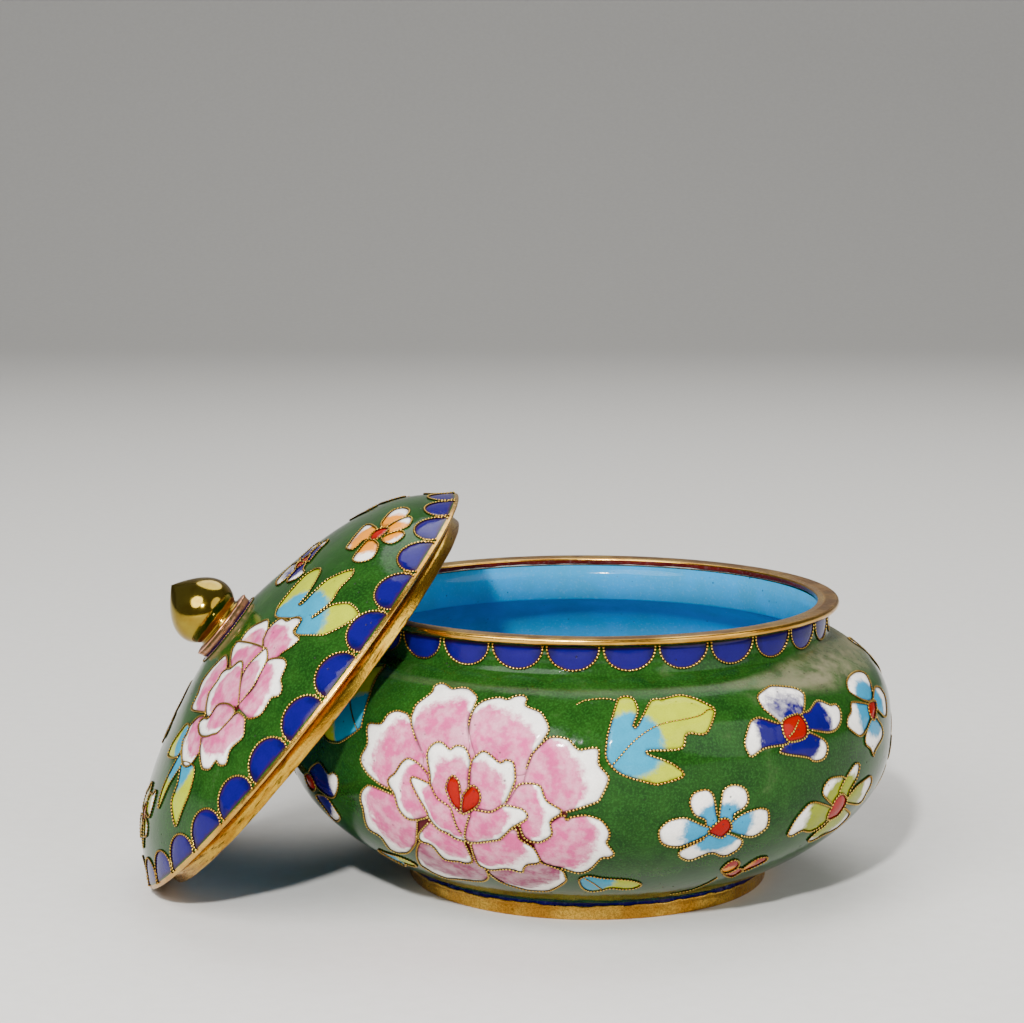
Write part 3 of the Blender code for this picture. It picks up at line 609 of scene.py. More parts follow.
def cell_sheet(outline, surface, lift, later=()):
    """A thin sheet of enamel inside a closed outline, lifted off its vessel and puffed up inside.

    The outline's points, a row just inside it and a grid of points a little under a millimetre
    apart are joined into triangles. The height is the lift times a smooth step of the distance to
    the outline, plus the puff times a slower one that stays clear of later cells. The outline
    itself lies below the vessel's surface, so that the sheet is sealed all round. Returns the flat
    points, the points on the vessel, the triangles and the distance of each point to the outline.
    """
    lengths = running_length(np.concatenate([outline, outline[:1]]))
    count = max(int(lengths[-1] / EDGE_STEP), 12)
    edge = evenly(np.concatenate([outline, outline[:1]]), lengths, count)[:-1]
    step = unit(np.roll(edge, -1, axis=0) - np.roll(edge, 1, axis=0))
    left = np.stack([-step[:, 1], step[:, 0]], axis=1)
    low, high = edge.min(axis=0), edge.max(axis=0)
    across, up = np.meshgrid(np.arange(low[0], high[0], ACROSS_STEP), np.arange(low[1], high[1], UP_STEP),
                             indexing="ij")
    across = across + ACROSS_STEP / 2.0 * (np.arange(up.shape[1]) % 2)
    loose = np.concatenate([edge + INSET * left, edge - INSET * left])
    loose = loose[inside(loose, edge)]
    loose = loose[distance(loose, edge) > EDGE_RISE]
    grid = np.stack([across.ravel(), up.ravel()], axis=1)
    grid = grid[inside(grid, edge)]
    if len(grid):
        grid = grid[distance(grid, edge) > GRID_CLEAR]
    points = np.concatenate([edge, loose, grid])
    flat, _, triangles, *_ = delaunay_2d_cdt(points.tolist(), [], [list(range(len(edge)))], 1, 1e-5)
    flat, triangles = np.array(flat), np.array(triangles)
    a, b, c = (flat[triangles[:, k]] for k in range(3))
    turn = (b[:, 0] - a[:, 0]) * (c[:, 1] - a[:, 1]) - (b[:, 1] - a[:, 1]) * (c[:, 0] - a[:, 0])
    triangles = np.where(turn[:, None] > 0.0, triangles, triangles[:, ::-1])
    rim = distance(flat, edge)
    room = rim
    for other in later:
        # A later cell whose box is more than 2 mm away leaves the swell as it is.
        if ((other.min(axis=0) < high + 2.0) & (other.max(axis=0) > low - 2.0)).all():
            away = np.maximum(distance(flat, other) - PUFF_CLEAR, 0.0)
            room = np.minimum(room, np.where(inside(flat, other), 0.0, away))
    spot, normal = surface(flat)
    height = (lift + EDGE_DIP) * smooth_step(rim / EDGE_RISE) - EDGE_DIP
    height = height + PUFF * smooth_step(room / PUFF_WIDTH)
    return flat, spot + normal * height[:, None], triangles, rim


def beaded_wire(line, surface, lift, closed, width, pitch):
    """A wire of round beads along a flat line laid on a surface.

    Rings of points are carried along the line, some to a bead, and their radius swells over each
    bead. Open ends are closed by a point. Returns points, face arrays and how dark each point is
    painted: tarnish in the hollows between beads, and painted shade down the wire's sides that
    leaves each bead's top bright as a painted highlight.
    """
    line = np.concatenate([line, line[:1]]) if closed else line
    spot, _ = surface(line)
    lengths = running_length(spot)
    beads = max(int(round(lengths[-1] / pitch)), 2)
    spot, normal = surface(evenly(line, lengths, beads * len(BEAD_SWELL) + 1))
    if closed:
        spot, normal = spot[:-1], normal[:-1]
        along = np.roll(spot, -1, axis=0) - np.roll(spot, 1, axis=0)
    else:
        along = np.gradient(spot, axis=0)
    along = unit(along)
    side = unit(np.cross(along, normal))
    count = len(spot)
    swell = BEAD_SWELL[np.arange(count) % len(BEAD_SWELL)]
    radius = width / 2.0 * swell
    angle = np.arange(WIRE_SIDES) * math.tau / WIRE_SIDES
    centre = spot + normal * lift
    spoke = np.cos(angle)[None, :, None] * side[:, None] + np.sin(angle)[None, :, None] * normal[:, None]
    rings = (centre[:, None] + radius[:, None, None] * spoke).reshape(-1, 3)
    # Painted shade: the wire is darkened down its sides, and as tarnish between beads, so that only the top
    # of each bead stays bright as a painted highlight.
    groove = np.maximum(((1.0 - swell) / 0.55)[:, None], 1.0 - 1.3 * np.sin(angle)).clip(0.0, 1.0).ravel()
    quads = grid_quads(count, WIRE_SIDES, closed, True)[:, [0, 3, 2, 1]]
    if closed:
        return rings, [quads], groove
    tips = np.stack([centre[0] - along[0] * radius[0] * 0.6, centre[-1] + along[-1] * radius[-1] * 0.6])
    caps = np.concatenate([fan(len(rings), 0, WIRE_SIDES, False),
                           fan(len(rings) + 1, (count - 1) * WIRE_SIDES, WIRE_SIDES, True)])
    return np.concatenate([rings, tips]), [quads, caps], np.concatenate([groove, [0.0, 0.0]])


def open_runs(outline, later, gap, root, clear):
    """The parts of a closed line that no later cell covers, each as an open line.

    A point is covered when it is inside a later outline or closer to it than the gap, or closer to
    the root than the clear distance. Returns None when nothing is covered.
    """
    covered = np.linalg.norm(outline - root, axis=1) < clear
    for other in later:
        near = (np.abs(outline - (other.min(axis=0) + other.max(axis=0)) / 2)
                < (other.max(axis=0) - other.min(axis=0)) / 2 + gap).all(axis=1)
        if near.any():
            covered[near] |= inside(outline[near], other) | (distance(outline[near], other) < gap)
    if not covered.any():
        return None
    first = int(np.argmax(covered))
    line, hidden = np.roll(outline, -first, axis=0), np.roll(covered, -first)
    cuts = np.flatnonzero(np.diff(hidden.astype(int)))
    runs = np.split(np.arange(len(line)), cuts + 1)
    return [line[max(run[0] - 1, 0):run[-1] + 2] for run in runs if not hidden[run[0]] and len(run) > 3]


class Batch:
    """Gathers sheets or wires into one piece."""

    def __init__(self):
        self.points, self.faces, self.values, self.size = [], {}, {}, 0

    def take(self, points, faces, **values):
        """Adds points, face arrays and a value or colour for each point, or one for all of them."""
        for part in faces:
            self.faces.setdefault(part.shape[1], []).append(part + self.size)
        for key, value in values.items():
            value = np.asarray(value, float)
            if value.shape[:1] != (len(points),):
                value = np.broadcast_to(value, (len(points),) + value.shape)
            self.values.setdefault(key, []).append(value)
        self.points.append(points)
        self.size += len(points)

    def piece(self, name, material, slot):
        """Makes the piece, with one attribute for each kind of value."""
        faces = [np.concatenate(parts) for parts in self.faces.values()]
        result = new_piece(name, np.concatenate(self.points), faces, [material])
        for key, parts in self.values.items():
            data = np.concatenate(parts)
            kind, field = ("FLOAT", "value") if data.ndim == 1 else ("FLOAT_COLOR", "color")
            if data.ndim == 2:
                data = np.column_stack([data, np.ones(len(data))])
            layer = result.data.attributes.new(key, kind, "POINT")
            layer.data.foreach_set(field, data.astype(np.float32).ravel())


class Area:
    """The cells and wires laid on one surface, gathered into a piece of each."""

    def __init__(self, context, surface):
        sizes = context.scene.cloisonne_sizes
        self.width, self.pitch = sizes.wire_width / MM, sizes.bead_pitch / MM
        self.inks, self.surface = inks_of(context), surface
        self.cells, self.wires = Batch(), Batch()

    def sheet(self, outline, lift, later=()):
        """A sheet of enamel on this surface, as cell_sheet gives it."""
        return cell_sheet(outline, self.surface, lift, later)

    def wire(self, line, lift, closed=False, thickness=1.0):
        """Lays a wire, as thick as the given share of a full one."""
        width = self.width * thickness
        points, faces, groove = beaded_wire(line, self.surface, lift, closed, width, self.pitch)
        self.wires.take(points, faces, groove=groove)

    def pieces(self, cells, wires):
        """Makes the two pieces under the given names."""
        self.cells.piece(cells, shared_material("cell enamel", cell_enamel), "enamel_green")
        # The wires' gilding paints shade down their sides and a highlight on each bead's top.
        self.wires.piece(wires, shared_material("beaded gilt wire", gilding, grooves=True), "gilt_brass")


def dark_rim(rim):
    """How dark the enamel is, from one at its outline to nought where the rim ends."""
    return np.clip(1.0 - rim / DARK_RIM, 0.0, 1.0)


def lay_motif(area, motif, place):
    """Lays one motif: a sheet for each cell, and wires where no later cell covers them.

    The inside colour turns into the outside one with the distance from the motif's root. Petals
    that start pink or mauve also whiten over 1.5 mm along their rim, from 0.4 of the way outwards.
    """
    root, cells = motif
    root = placed([root], *place)
    cells = [(kind, placed(smooth_curve(points, kind not in BARE_WIRES), *place)) for kind, points in cells]
    for order, (kind, line) in enumerate(cells):
        lift = FIRST_LIFT + LIFT_STEP * order
        if kind in BARE_WIRES:
            area.wire(line, lift + PUFF if kind == "line" else STEM_LIFT, thickness=VEIN_SHARE)
            continue
        near, far, start, end, blot, clear = CELL_INKS[kind]
        later = [outline for other, outline in cells[order + 1:] if other not in BARE_WIRES]
        flat, spots, triangles, rim = area.sheet(line, lift, later)
        reach = np.linalg.norm(flat - root, axis=1)
        share = (reach - reach.min()) / max(np.ptp(reach), 1e-6)
        fade = (share - start) / (end - start)
        if near in ("pink", "mauve"):
            fade = fade + 0.8 * smooth_step(1.0 - rim / 1.5) * smooth_step((share - 0.4) / 0.25)
        area.cells.take(spots, [triangles], ink=area.inks[near], tip=area.inks[far],
                        fade=np.clip(fade, 0.0, 1.0), blot=blot, edge=dark_rim(rim))
        if kind in UNWIRED:
            continue
        runs = open_runs(line, later, HIDDEN_GAP, root, clear * place[3])
        for run in [line] if runs is None else runs:
            area.wire(run, lift + WIRE_LIFT, runs is None)


def lay_scallops(area, count, arch):
    """Lays a row of scallops: arch(k) gives the arch of one as a flat line, from end to end.

    The sheet is closed by the straight line between the ends, and the wire follows the arch.
    """
    for line in map(arch, range(count)):
        flat, spots, triangles, rim = area.sheet(line, FIRST_LIFT)
        reach = np.linalg.norm(flat - flat.mean(axis=0), axis=1)
        area.cells.take(spots, [triangles], ink=area.inks["dark_blue"], tip=area.inks["night_blue"],
                        fade=(reach / reach.max()) ** 2, blot=0.0, edge=dark_rim(rim))
        area.wire(line, FIRST_LIFT + WIRE_LIFT)


def add(tree, kind, settings=None, links=None):
    """Adds a node, gives its properties or sockets their values, and links sockets from others."""
    result = tree.nodes.new(kind)
    for key, value in (settings or {}).items():
        if isinstance(key, str) and key in result.bl_rna.properties:
            setattr(result, key, value)
        else:
            result.inputs[key].default_value = value
    for key, source in (links or {}).items():
        tree.links.new(source, result.inputs[key])
    return result


def linear(code):
    """Linear red, green and blue of an sRGB hex code."""
    value = np.array([int(code[i:i + 2], 16) for i in (0, 2, 4)]) / 255.0
    return np.where(value <= 0.04045, value / 12.92, ((value + 0.055) / 1.055) ** 2.4)


def rgba(colour):
    """A colour with full alpha, for a socket."""
    return (*[float(v) for v in colour], 1.0)


def noise(tree, place, size, detail=3.0, rough=0.55, stretch=None):
    """Output of a noise whose features are about the given size in millimetres."""
    if stretch is not None:
        place = add(tree, "ShaderNodeMapping", {"Scale": stretch}, {"Vector": place}).outputs["Vector"]
    return add(tree, "ShaderNodeTexNoise", {"Scale": 1.0 / (size * MM), "Detail": detail, "Roughness": rough},
               {"Vector": place}).outputs["Fac"]


def ranged(tree, value, low, high, to_low=0.0, to_high=1.0, smooth=True):
    """Value moved from one range to another and held between its ends."""
    return add(tree, "ShaderNodeMapRange", {"interpolation_type": "SMOOTHSTEP" if smooth else "LINEAR",
               "From Min": low, "From Max": high, "To Min": to_low, "To Max": to_high},
               {"Value": value}).outputs["Result"]


def mixed(tree, factor, first, second, blend="MIX"):
    """Mix of two colours; each is a socket or a colour."""
    settings, links = {"data_type": "RGBA", "blend_type": blend}, {}
    for index, value in ((0, factor), (6, first), (7, second)):
        if isinstance(value, bpy.types.NodeSocket):
            links[index] = value
        else:
            settings[index] = value if index == 0 else rgba(value)
    return add(tree, "ShaderNodeMix", settings, links).outputs[2]


def maths(tree, operation, first, second=0.0):
    """Result of a math operation on sockets or numbers."""
    settings, links = {"operation": operation}, {}
    for index, value in ((0, first), (1, second)):
        (links if isinstance(value, bpy.types.NodeSocket) else settings)[index] = value
    return add(tree, "ShaderNodeMath", settings, links).outputs[0]


def times(tree, first, second):
    """Product of two sockets or numbers."""
    return maths(tree, "MULTIPLY", first, second)


def new_material(name):
    """An empty node material: returns it, its tree, its shader and the object coordinates."""
    material = bpy.data.materials.new(name)
    material.use_nodes = True
    tree = material.node_tree
    place = add(tree, "ShaderNodeTexCoord").outputs["Object"]
    return material, tree, tree.nodes["Principled BSDF"], place


def bumped(tree, shader, layers, depth=0.1):
    """Bump from (height, strength) layers, each on top of the one before; the depth is in millimetres."""
    links = {}
    for height, strength in layers:
        bump = add(tree, "ShaderNodeBump", {"Strength": strength, "Distance": depth * MM},
                   {"Height": height, **links})
        links = {"Normal": bump.outputs["Normal"]}
    tree.links.new(links["Normal"], shader.inputs["Normal"])


def glass_surface(tree, shader, place, colour, worn=None):
    """Finish shared by all enamels: a fired glassy skin with pinholes and a soft unevenness.

    It gives the eye a wet gloss that breaks up at small dark pits and fine ground specks.
    """
    pit_place = add(tree, "ShaderNodeTexVoronoi", {"Scale": 1.0 / (1.5 * MM), "Randomness": 1.0},
                    {"Vector": place}).outputs["Distance"]
    rare = ranged(tree, noise(tree, place, 4.0, 2.0), 0.52, 0.62)
    pits = times(tree, ranged(tree, pit_place, 0.16, 0.07), rare)
    colour = mixed(tree, times(tree, pits, 0.75), colour, linear("16110D"))
    rough = ranged(tree, noise(tree, place, 0.9, 4.0), 0.3, 0.75, 0.06, 0.17)
    rough = maths(tree, "ADD", rough, times(tree, pits, 0.4))
    if worn is not None:
        rough = maths(tree, "ADD", rough, times(tree, worn, 0.45))
    tree.links.new(colour, shader.inputs["Base Color"])
    tree.links.new(rough, shader.inputs["Roughness"])
    # The specular level is low because the soft lights are far larger than a flash.
    shader.inputs["IOR"].default_value = 1.45
    shader.inputs["Specular IOR Level"].default_value = 0.15
    bumped(tree, shader, [(noise(tree, place, 5.0, 2.0), 0.42), (noise(tree, place, 0.8, 2.0), 0.10),
                          (maths(tree, "SUBTRACT", 1.0, pits), 0.5)])


def dust_band(tree, place):
    """Grey dust along the jar's shoulder: a band that widens and thickens away from the lid."""
    axes = add(tree, "ShaderNodeSeparateXYZ", {}, {0: place}).outputs
    side = ranged(tree, axes["X"], (JAR_AXIS[0] + DUST_START) * MM, (JAR_AXIS[0] + DUST_FULL) * MM)
    away = maths(tree, "ABSOLUTE", maths(tree, "SUBTRACT", axes["Z"], DUST_HEIGHT * MM))
    width = times(tree, maths(tree, "POWER", side, 2.0), DUST_SPREAD * MM)
    width = maths(tree, "ADD", width, DUST_WIDTH * MM)
    band = ranged(tree, maths(tree, "DIVIDE", away, width), 1.0, 0.3)
    side = maths(tree, "ADD", times(tree, side, 0.82), 0.14)
    cloud = ranged(tree, noise(tree, place, 7.0, 6.0, 0.62, (1.0, 1.0, 2.0)), 0.34, 0.62, 0.25, 1.0)
    return times(tree, times(tree, band, side), cloud)


def ground_enamel(name, inks, dusty):
    """Green ground enamel: mottled by the ground glass, with faint grey smears all over.

    It gives the eye a deep grassy green, a little darker and lighter in patches a few millimetres
    wide and peppered with grains. Where it is dusty, a grey haze also lies along the shoulder.
    """
    material, tree, shader, place = new_material(name)
    patches = ranged(tree, noise(tree, place, 6.0, 4.0, 0.6), 0.32, 0.70)
    grains = ranged(tree, noise(tree, place, 0.35, 2.0, 0.7), 0.42, 0.70)
    result = mixed(tree, patches, inks["deep_green"], inks["green"])
    result = mixed(tree, times(tree, grains, 0.36), result, inks["grass"])
    worn = times(tree, ranged(tree, noise(tree, place, 6.0, 5.0, 0.65), 0.58, 0.80), 0.22)
    if dusty:
        worn = maths(tree, "MAXIMUM", worn, dust_band(tree, place))
    result = mixed(tree, times(tree, worn, 0.72), result, linear("857C63"))
    glass_surface(tree, shader, place, result, worn)
    return material


def cell_enamel(name):
    """Enamel of the cells: each cell's inside colour runs into its outside one.

    It gives the eye petals that bleed from pink to white in uneven patches, as ground glass does,
    and a thin brown line along the wires, where the enamel has darkened.
    """
    material, tree, shader, place = new_material(name)
    ink, tip, fade, blot, edge = (add(tree, "ShaderNodeAttribute", {"attribute_name": key}).outputs
                                  for key in ("ink", "tip", "fade", "blot", "edge"))
    ragged = ranged(tree, noise(tree, place, 1.5, 5.0, 0.7), 0.25, 0.75, -0.28, 0.28, False)
    ragged = maths(tree, "ADD", fade["Fac"], ragged)
    clouds = ranged(tree, noise(tree, place, 2.4, 4.0, 0.6), 0.36, 0.66, 0.0, 0.95)
    share = maths(tree, "MAXIMUM", ranged(tree, ragged, 0.22, 0.78), times(tree, blot["Fac"], clouds))
    colour = mixed(tree, share, ink["Color"], tip["Color"])
    tone = ranged(tree, noise(tree, place, 3.0, 3.0), 0.3, 0.7, 0.88, 1.05, False)
    grain = ranged(tree, noise(tree, place, 0.28, 2.0, 0.7), 0.3, 0.7, 0.90, 1.05, False)
    shade = times(tree, tone, grain)
    shade = add(tree, "ShaderNodeCombineColor", {}, {0: shade, 1: shade, 2: shade}).outputs[0]
    colour = mixed(tree, 1.0, colour, shade, "MULTIPLY")
    colour = mixed(tree, ranged(tree, edge["Fac"], 0.28, 0.75, 0.0, 0.75), colour, linear("2E160C"))
    glass_surface(tree, shader, place, colour)
    return material


def plain_enamel(name, colour, deep):
    """One-colour enamel, as inside the vessels: it gives the eye a smooth glaze with faint clouds."""
    material, tree, shader, place = new_material(name)
    result = mixed(tree, ranged(tree, noise(tree, place, 9.0, 4.0, 0.6), 0.3, 0.7), deep, colour)
    grain = ranged(tree, noise(tree, place, 0.5, 2.0, 0.7), 0.5, 0.75)
    result = mixed(tree, times(tree, grain, 0.05), result, linear("D8EEF5"))
    glass_surface(tree, shader, place, result)
    return material


def gilding(name, grooves=False, round_axis=None, dull_top=None):
    """Gilt brass: it gives the eye a warm metal shine, dulled brown in spots.

    The grain sets the bump, from polished on the knob to sandy on the foot. For beaded wires, the
    tarnish also fills the hollows between beads, and painted shade darkens the wires' sides, so that
    only the bead tops stay bright as a painted highlight. Where an axis is given, the tarnish runs in
    streaks round it, as left by polishing on a wheel. Where a height is given for the top, surfaces
    above it in millimetres are darkened in patches to the tarnish colour, a painted dark reflection.
    """
    code, tarnish, rough, grain, spots = GILDINGS[name]
    colour, tarnish = linear(code), linear(tarnish)
    material, tree, shader, place = new_material(name)
    drawn = place
    if round_axis is not None:
        axis, stretch = tuple(map(float, round_axis)), tuple(map(float, 6.0 * round_axis))
        along = add(tree, "ShaderNodeVectorMath", {"operation": "DOT_PRODUCT", 1: axis}, {0: place})
        drawn = add(tree, "ShaderNodeVectorMath", {"operation": "MULTIPLY_ADD", 1: stretch},
                    {0: along.outputs["Value"], 2: place}).outputs["Vector"]
    stain_and_painted_shade = ranged(tree, noise(tree, drawn, 2.6, 5.0, 0.65), 0.62 - 0.12 * spots, 0.80 - 0.12 * spots)
    if grooves:
        # Beaded wires: tarnish in the hollows between beads, plus painted shade on the wires' sides that
        # leaves a painted highlight on each bead's top.
        groove = add(tree, "ShaderNodeAttribute", {"attribute_name": "groove"}).outputs["Fac"]
        stain_and_painted_shade = maths(tree, "MAXIMUM", times(tree, stain_and_painted_shade, 0.4), ranged(tree, groove, 0.12, 0.72, 0.0, 1.1))
    # Painted dark reflection: flat surfaces above the given height are darkened in patches to the tarnish
    # colour.
    if dull_top is not None:
        high = add(tree, "ShaderNodeSeparateXYZ", {}, {0: place}).outputs["Z"]
        high = ranged(tree, high, (dull_top - 0.10) * MM, (dull_top + 0.02) * MM)
        patches = ranged(tree, noise(tree, place, 9.0, 4.0), 0.30, 0.60, 0.25, 1.0)
        stain_and_painted_shade = maths(tree, "MAXIMUM", stain_and_painted_shade, times(tree, patches, high))
    grit = ranged(tree, noise(tree, place, 0.3, 2.0, 0.7), 0.42, 0.60)
    grit = times(tree, grit, min(grain * 6.0, 0.5))
    tone = ranged(tree, noise(tree, drawn, 8.0, 4.0, 0.6), 0.36, 0.64)
    result = mixed(tree, tone, colour, colour * (0.70, 0.55, 0.38))
    result = mixed(tree, maths(tree, "MAXIMUM", times(tree, stain_and_painted_shade, 0.92), grit), result, tarnish)
    tree.links.new(result, shader.inputs["Base Color"])
    shader.inputs["Metallic"].default_value = 1.0
    wear = ranged(tree, noise(tree, drawn, 0.7, 4.0, 0.7), 0.3, 0.75, rough * 0.75, rough * 1.5, False)
    tree.links.new(maths(tree, "ADD", wear, times(tree, stain_and_painted_shade, 0.22)), shader.inputs["Roughness"])
    bumped(tree, shader, [(noise(tree, place, 0.45, 3.0, 0.6), min(grain * 8.0, 1.0)),
                          (noise(tree, place, 2.2, 3.0), min(grain * 5.0, 0.8))], 0.12)
    return material


def paper(name):
    """Pale matt paper: it gives the eye a quiet floor with a trace of fibre."""
    material, tree, shader, place = new_material(name)
    tone = mixed(tree, noise(tree, place, 3.0, 5.0), linear("CCC9C3"), linear("D6D4CF"))
    tree.links.new(tone, shader.inputs["Base Color"])
    shader.inputs["Roughness"].default_value = 0.85
    bumped(tree, shader, [(noise(tree, place, 0.6, 3.0), 0.15)])
    return material


def inks_of(context):
    """The enamel colours by name."""
    inks = context.scene.cloisonne_inks
    return {key: np.array(getattr(inks, key)) for key in inks.__annotations__}


def shared_material(name, maker, *values, **settings):
    """The material of that name, made the first time that it is asked for."""
    return bpy.data.materials.get(name) or maker(name, *values, **settings)


def sky_enamel(inks):
    """The light blue enamel inside the jar and the lid."""
    return shared_material("sky blue enamel", plain_enamel, inks["sky"], inks["deep_sky"])


def colour_property(label, description, code):
    """A colour property with its default from a hex code."""
    return bpy.props.FloatVectorProperty(name=label, description=description, subtype="COLOR", size=3,
                                         min=0.0, max=1.0, default=tuple(float(v) for v in linear(code)))


class CloisonneSizes(bpy.types.PropertyGroup):
    """Sizes of the wires and scallops."""

    wire_width: bpy.props.FloatProperty(name="Wire width", description="Width of a bead of the wire",
                                        default=0.43 * MM, min=0.1 * MM, max=2.0 * MM, unit="LENGTH")
    bead_pitch: bpy.props.FloatProperty(name="Bead pitch", description="Distance between beads of the wire",
                                        default=0.57 * MM, min=0.2 * MM, max=3.0 * MM, unit="LENGTH")
    jar_scallops: bpy.props.IntProperty(name="Jar scallops", description="Scallops round the neck",
                                        default=29, min=8, max=60)
    lid_scallops: bpy.props.IntProperty(name="Lid scallops", description="Scallops round the lid's edge",
                                        default=30, min=8, max=60)


class CloisonneInks(bpy.types.PropertyGroup):
    """Colours of the enamels."""

    green: colour_property("Green", "Ground of the jar and the lid", "1B3F11")
    deep_green: colour_property("Deep green", "Darker patches of the ground", "0F2E0B")
    grass: colour_property("Grass green", "Light grains in the ground", "2C6422")
    sky: colour_property("Sky blue", "Inside of the jar and the lid", "1C8AC4")
    deep_sky: colour_property("Deep sky blue", "Clouds in the inside's blue", "2682AC")
    dark_blue: colour_property("Dark blue", "Scallops and the blue flowers", "14045E")
    night_blue: colour_property("Night blue", "Edges of the scallops", "0E0442")
    light_blue: colour_property("Light blue", "Inside of the pale flowers", "228AB2")
    turquoise: colour_property("Turquoise", "Foot of the leaves", "1C8AAA")
    leaf_green: colour_property("Leaf green", "Tips of the leaves", "A6B010")
    olive: colour_property("Olive green", "Inside of the lime flower", "86900E")
    pink: colour_property("Pink", "Inside of the petals", "C64C80")
    mauve: colour_property("Mauve", "Inside of the lowest petals", "8A2E56")
    white: colour_property("White", "Outside of the petals", "FAF5EC")
    red: colour_property("Red", "Hearts of the flowers", "8E0800")
    maroon: colour_property("Maroon", "Gaps between the petals", "480A12")
    orange: colour_property("Orange", "Inside of the orange flower", "E68A00")


class CLOISONNE_OT_bowl(bpy.types.Operator):
    """Turns the bowl: green outside, light blue inside, dark blue below and in a band above the foot"""

    bl_idname = "cloisonne.bowl"
    bl_label = "Bowl"

    def execute(self, context):
        inks = inks_of(context)
        floor, neck = BAND_TOP + JAR_WALL, NECK_RADIUS - JAR_WALL
        groups = [
            (2, [(0.0, BASE_HEIGHT), (12.0, BASE_HEIGHT), (24.0, BASE_HEIGHT), (BASE_RADIUS, BASE_HEIGHT)]),
            (0, jar_side(0.0, BAND_TOP), [(NECK_RADIUS, NECK_FOOT + 2.0), (NECK_RADIUS, NECK_TOP)]),
            (1, [(neck, NECK_TOP), (neck, NECK_FOOT + 2.0)], jar_side(JAR_WALL, floor, 50)[::-1],
             [(22.0, floor), (10.0, floor), (0.0, floor)])]
        ground = shared_material("green ground enamel", ground_enamel, inks, True)
        band = shared_material("dark blue enamel", plain_enamel, inks["dark_blue"], inks["night_blue"])
        turned_piece("jar_enamel", groups, 288, upright, [ground, sky_enamel(inks), band],
                     "jar_body")
        return {"FINISHED"}


class CLOISONNE_OT_rings(bpy.types.Operator):
    """Turns the gilt ring round the mouth and the sandy gilt foot"""

    bl_idname = "cloisonne.rings"
    bl_label = "Gilt rings"

    def execute(self, context):
        low, top, r = JAR_HEIGHT - RIM_THICKNESS, JAR_HEIGHT, 0.52
        bottom = corner((MOUTH_RADIUS + 0.25, low + 0.25), 0.25, 180, 270, 4)
        lip = corner((MOUTH_RADIUS + 0.3, top - 0.42), 0.3, 90, 180, 5)
        groups = [
            (1, bottom[:2]),
            (0, bottom[2:], [(NECK_RADIUS, low)], corner((RIM_RADIUS - r, low + r), r, -90, 0),
             corner((RIM_RADIUS - r, top - r), r, 0, 90),
             [(RIM_RADIUS - 1.1, top - 0.02), (RIM_RADIUS - 2.2, top - 0.05), (RIM_RADIUS - 2.8, top - 0.14)],
             lip[:-1]),
            (1, lip[-1:])]

        def uneven(points):
            """Lifts and lowers the underside a little round the neck."""
            wave = ripples(points, (7, 23, 61), (0.4, 2.0, 1.1), (0.04, 0.03, 0.02))
            points[:, 2] += wave * (points[:, 2] < low + 0.2)

        # The ring's flat top is painted dark in patches, a painted reflection of dark surroundings.
        rim = shared_material("rubbed gilt rim", gilding, round_axis=np.array([0.0, 0.0, 1.0]),
                              dull_top=JAR_HEIGHT - 0.06)
        flux = shared_material("dark red flux line", plain_enamel, linear("54140E"), linear("380C08"))
        turned_piece("jar_mouth_ring", groups, 360, upright, [rim, flux], "mouth_rim", uneven)
        outer, inner = FOOT_RADIUS, FOOT_RADIUS - FOOT_WIDTH
        groups = [
            (0, [(inner, 0.25), (inner + 0.3, 0.0), (outer - 0.5, 0.0)],
             corner((outer - 0.35, 0.35), 0.35, -70, 0, 4),
             [(outer, 0.8), (outer + 0.05, 1.4), (outer + 0.1, 2.0), (BASE_RADIUS + 0.12, 2.3),
              (BASE_RADIUS + 0.12, 2.55), (BASE_RADIUS - 0.1, 2.65), (BASE_RADIUS - 0.2, 2.1),
              (inner, FOOT_HEIGHT)])]

        def sandy(points):
            """Frays the solder's upper edge, and roughens the ring outwards with a product of sines."""
            ragged = ripples(points, (5, 13, 31, 57, 97), (0.3, 1.7, 4.0, 2.2, 0.9),
                             (0.10, 0.12, 0.12, 0.10, 0.06))
            outside = points[:, 0] ** 2 + points[:, 1] ** 2 > BASE_RADIUS ** 2
            points[:, 2] += ragged * np.clip((points[:, 2] - 2.0) / 0.6, 0.0, 1.0) * outside
            waves = np.array([(7.1, 3.3, 9.7), (5.3, 8.9, 2.1), (11.3, 4.7, 6.1)])
            grains = np.sin(points @ waves.T + (0.5, 2.5, 4.1)).prod(axis=1)
            points[:, :2] *= 1.0 + 0.0022 * grains[:, None] * (points[:, 2:] > 0.1)

        foot = shared_material("sandy gilt foot", gilding)
        turned_piece("jar_foot", groups, 480, upright, [foot], "foot_ring", sandy)
        return {"FINISHED"}


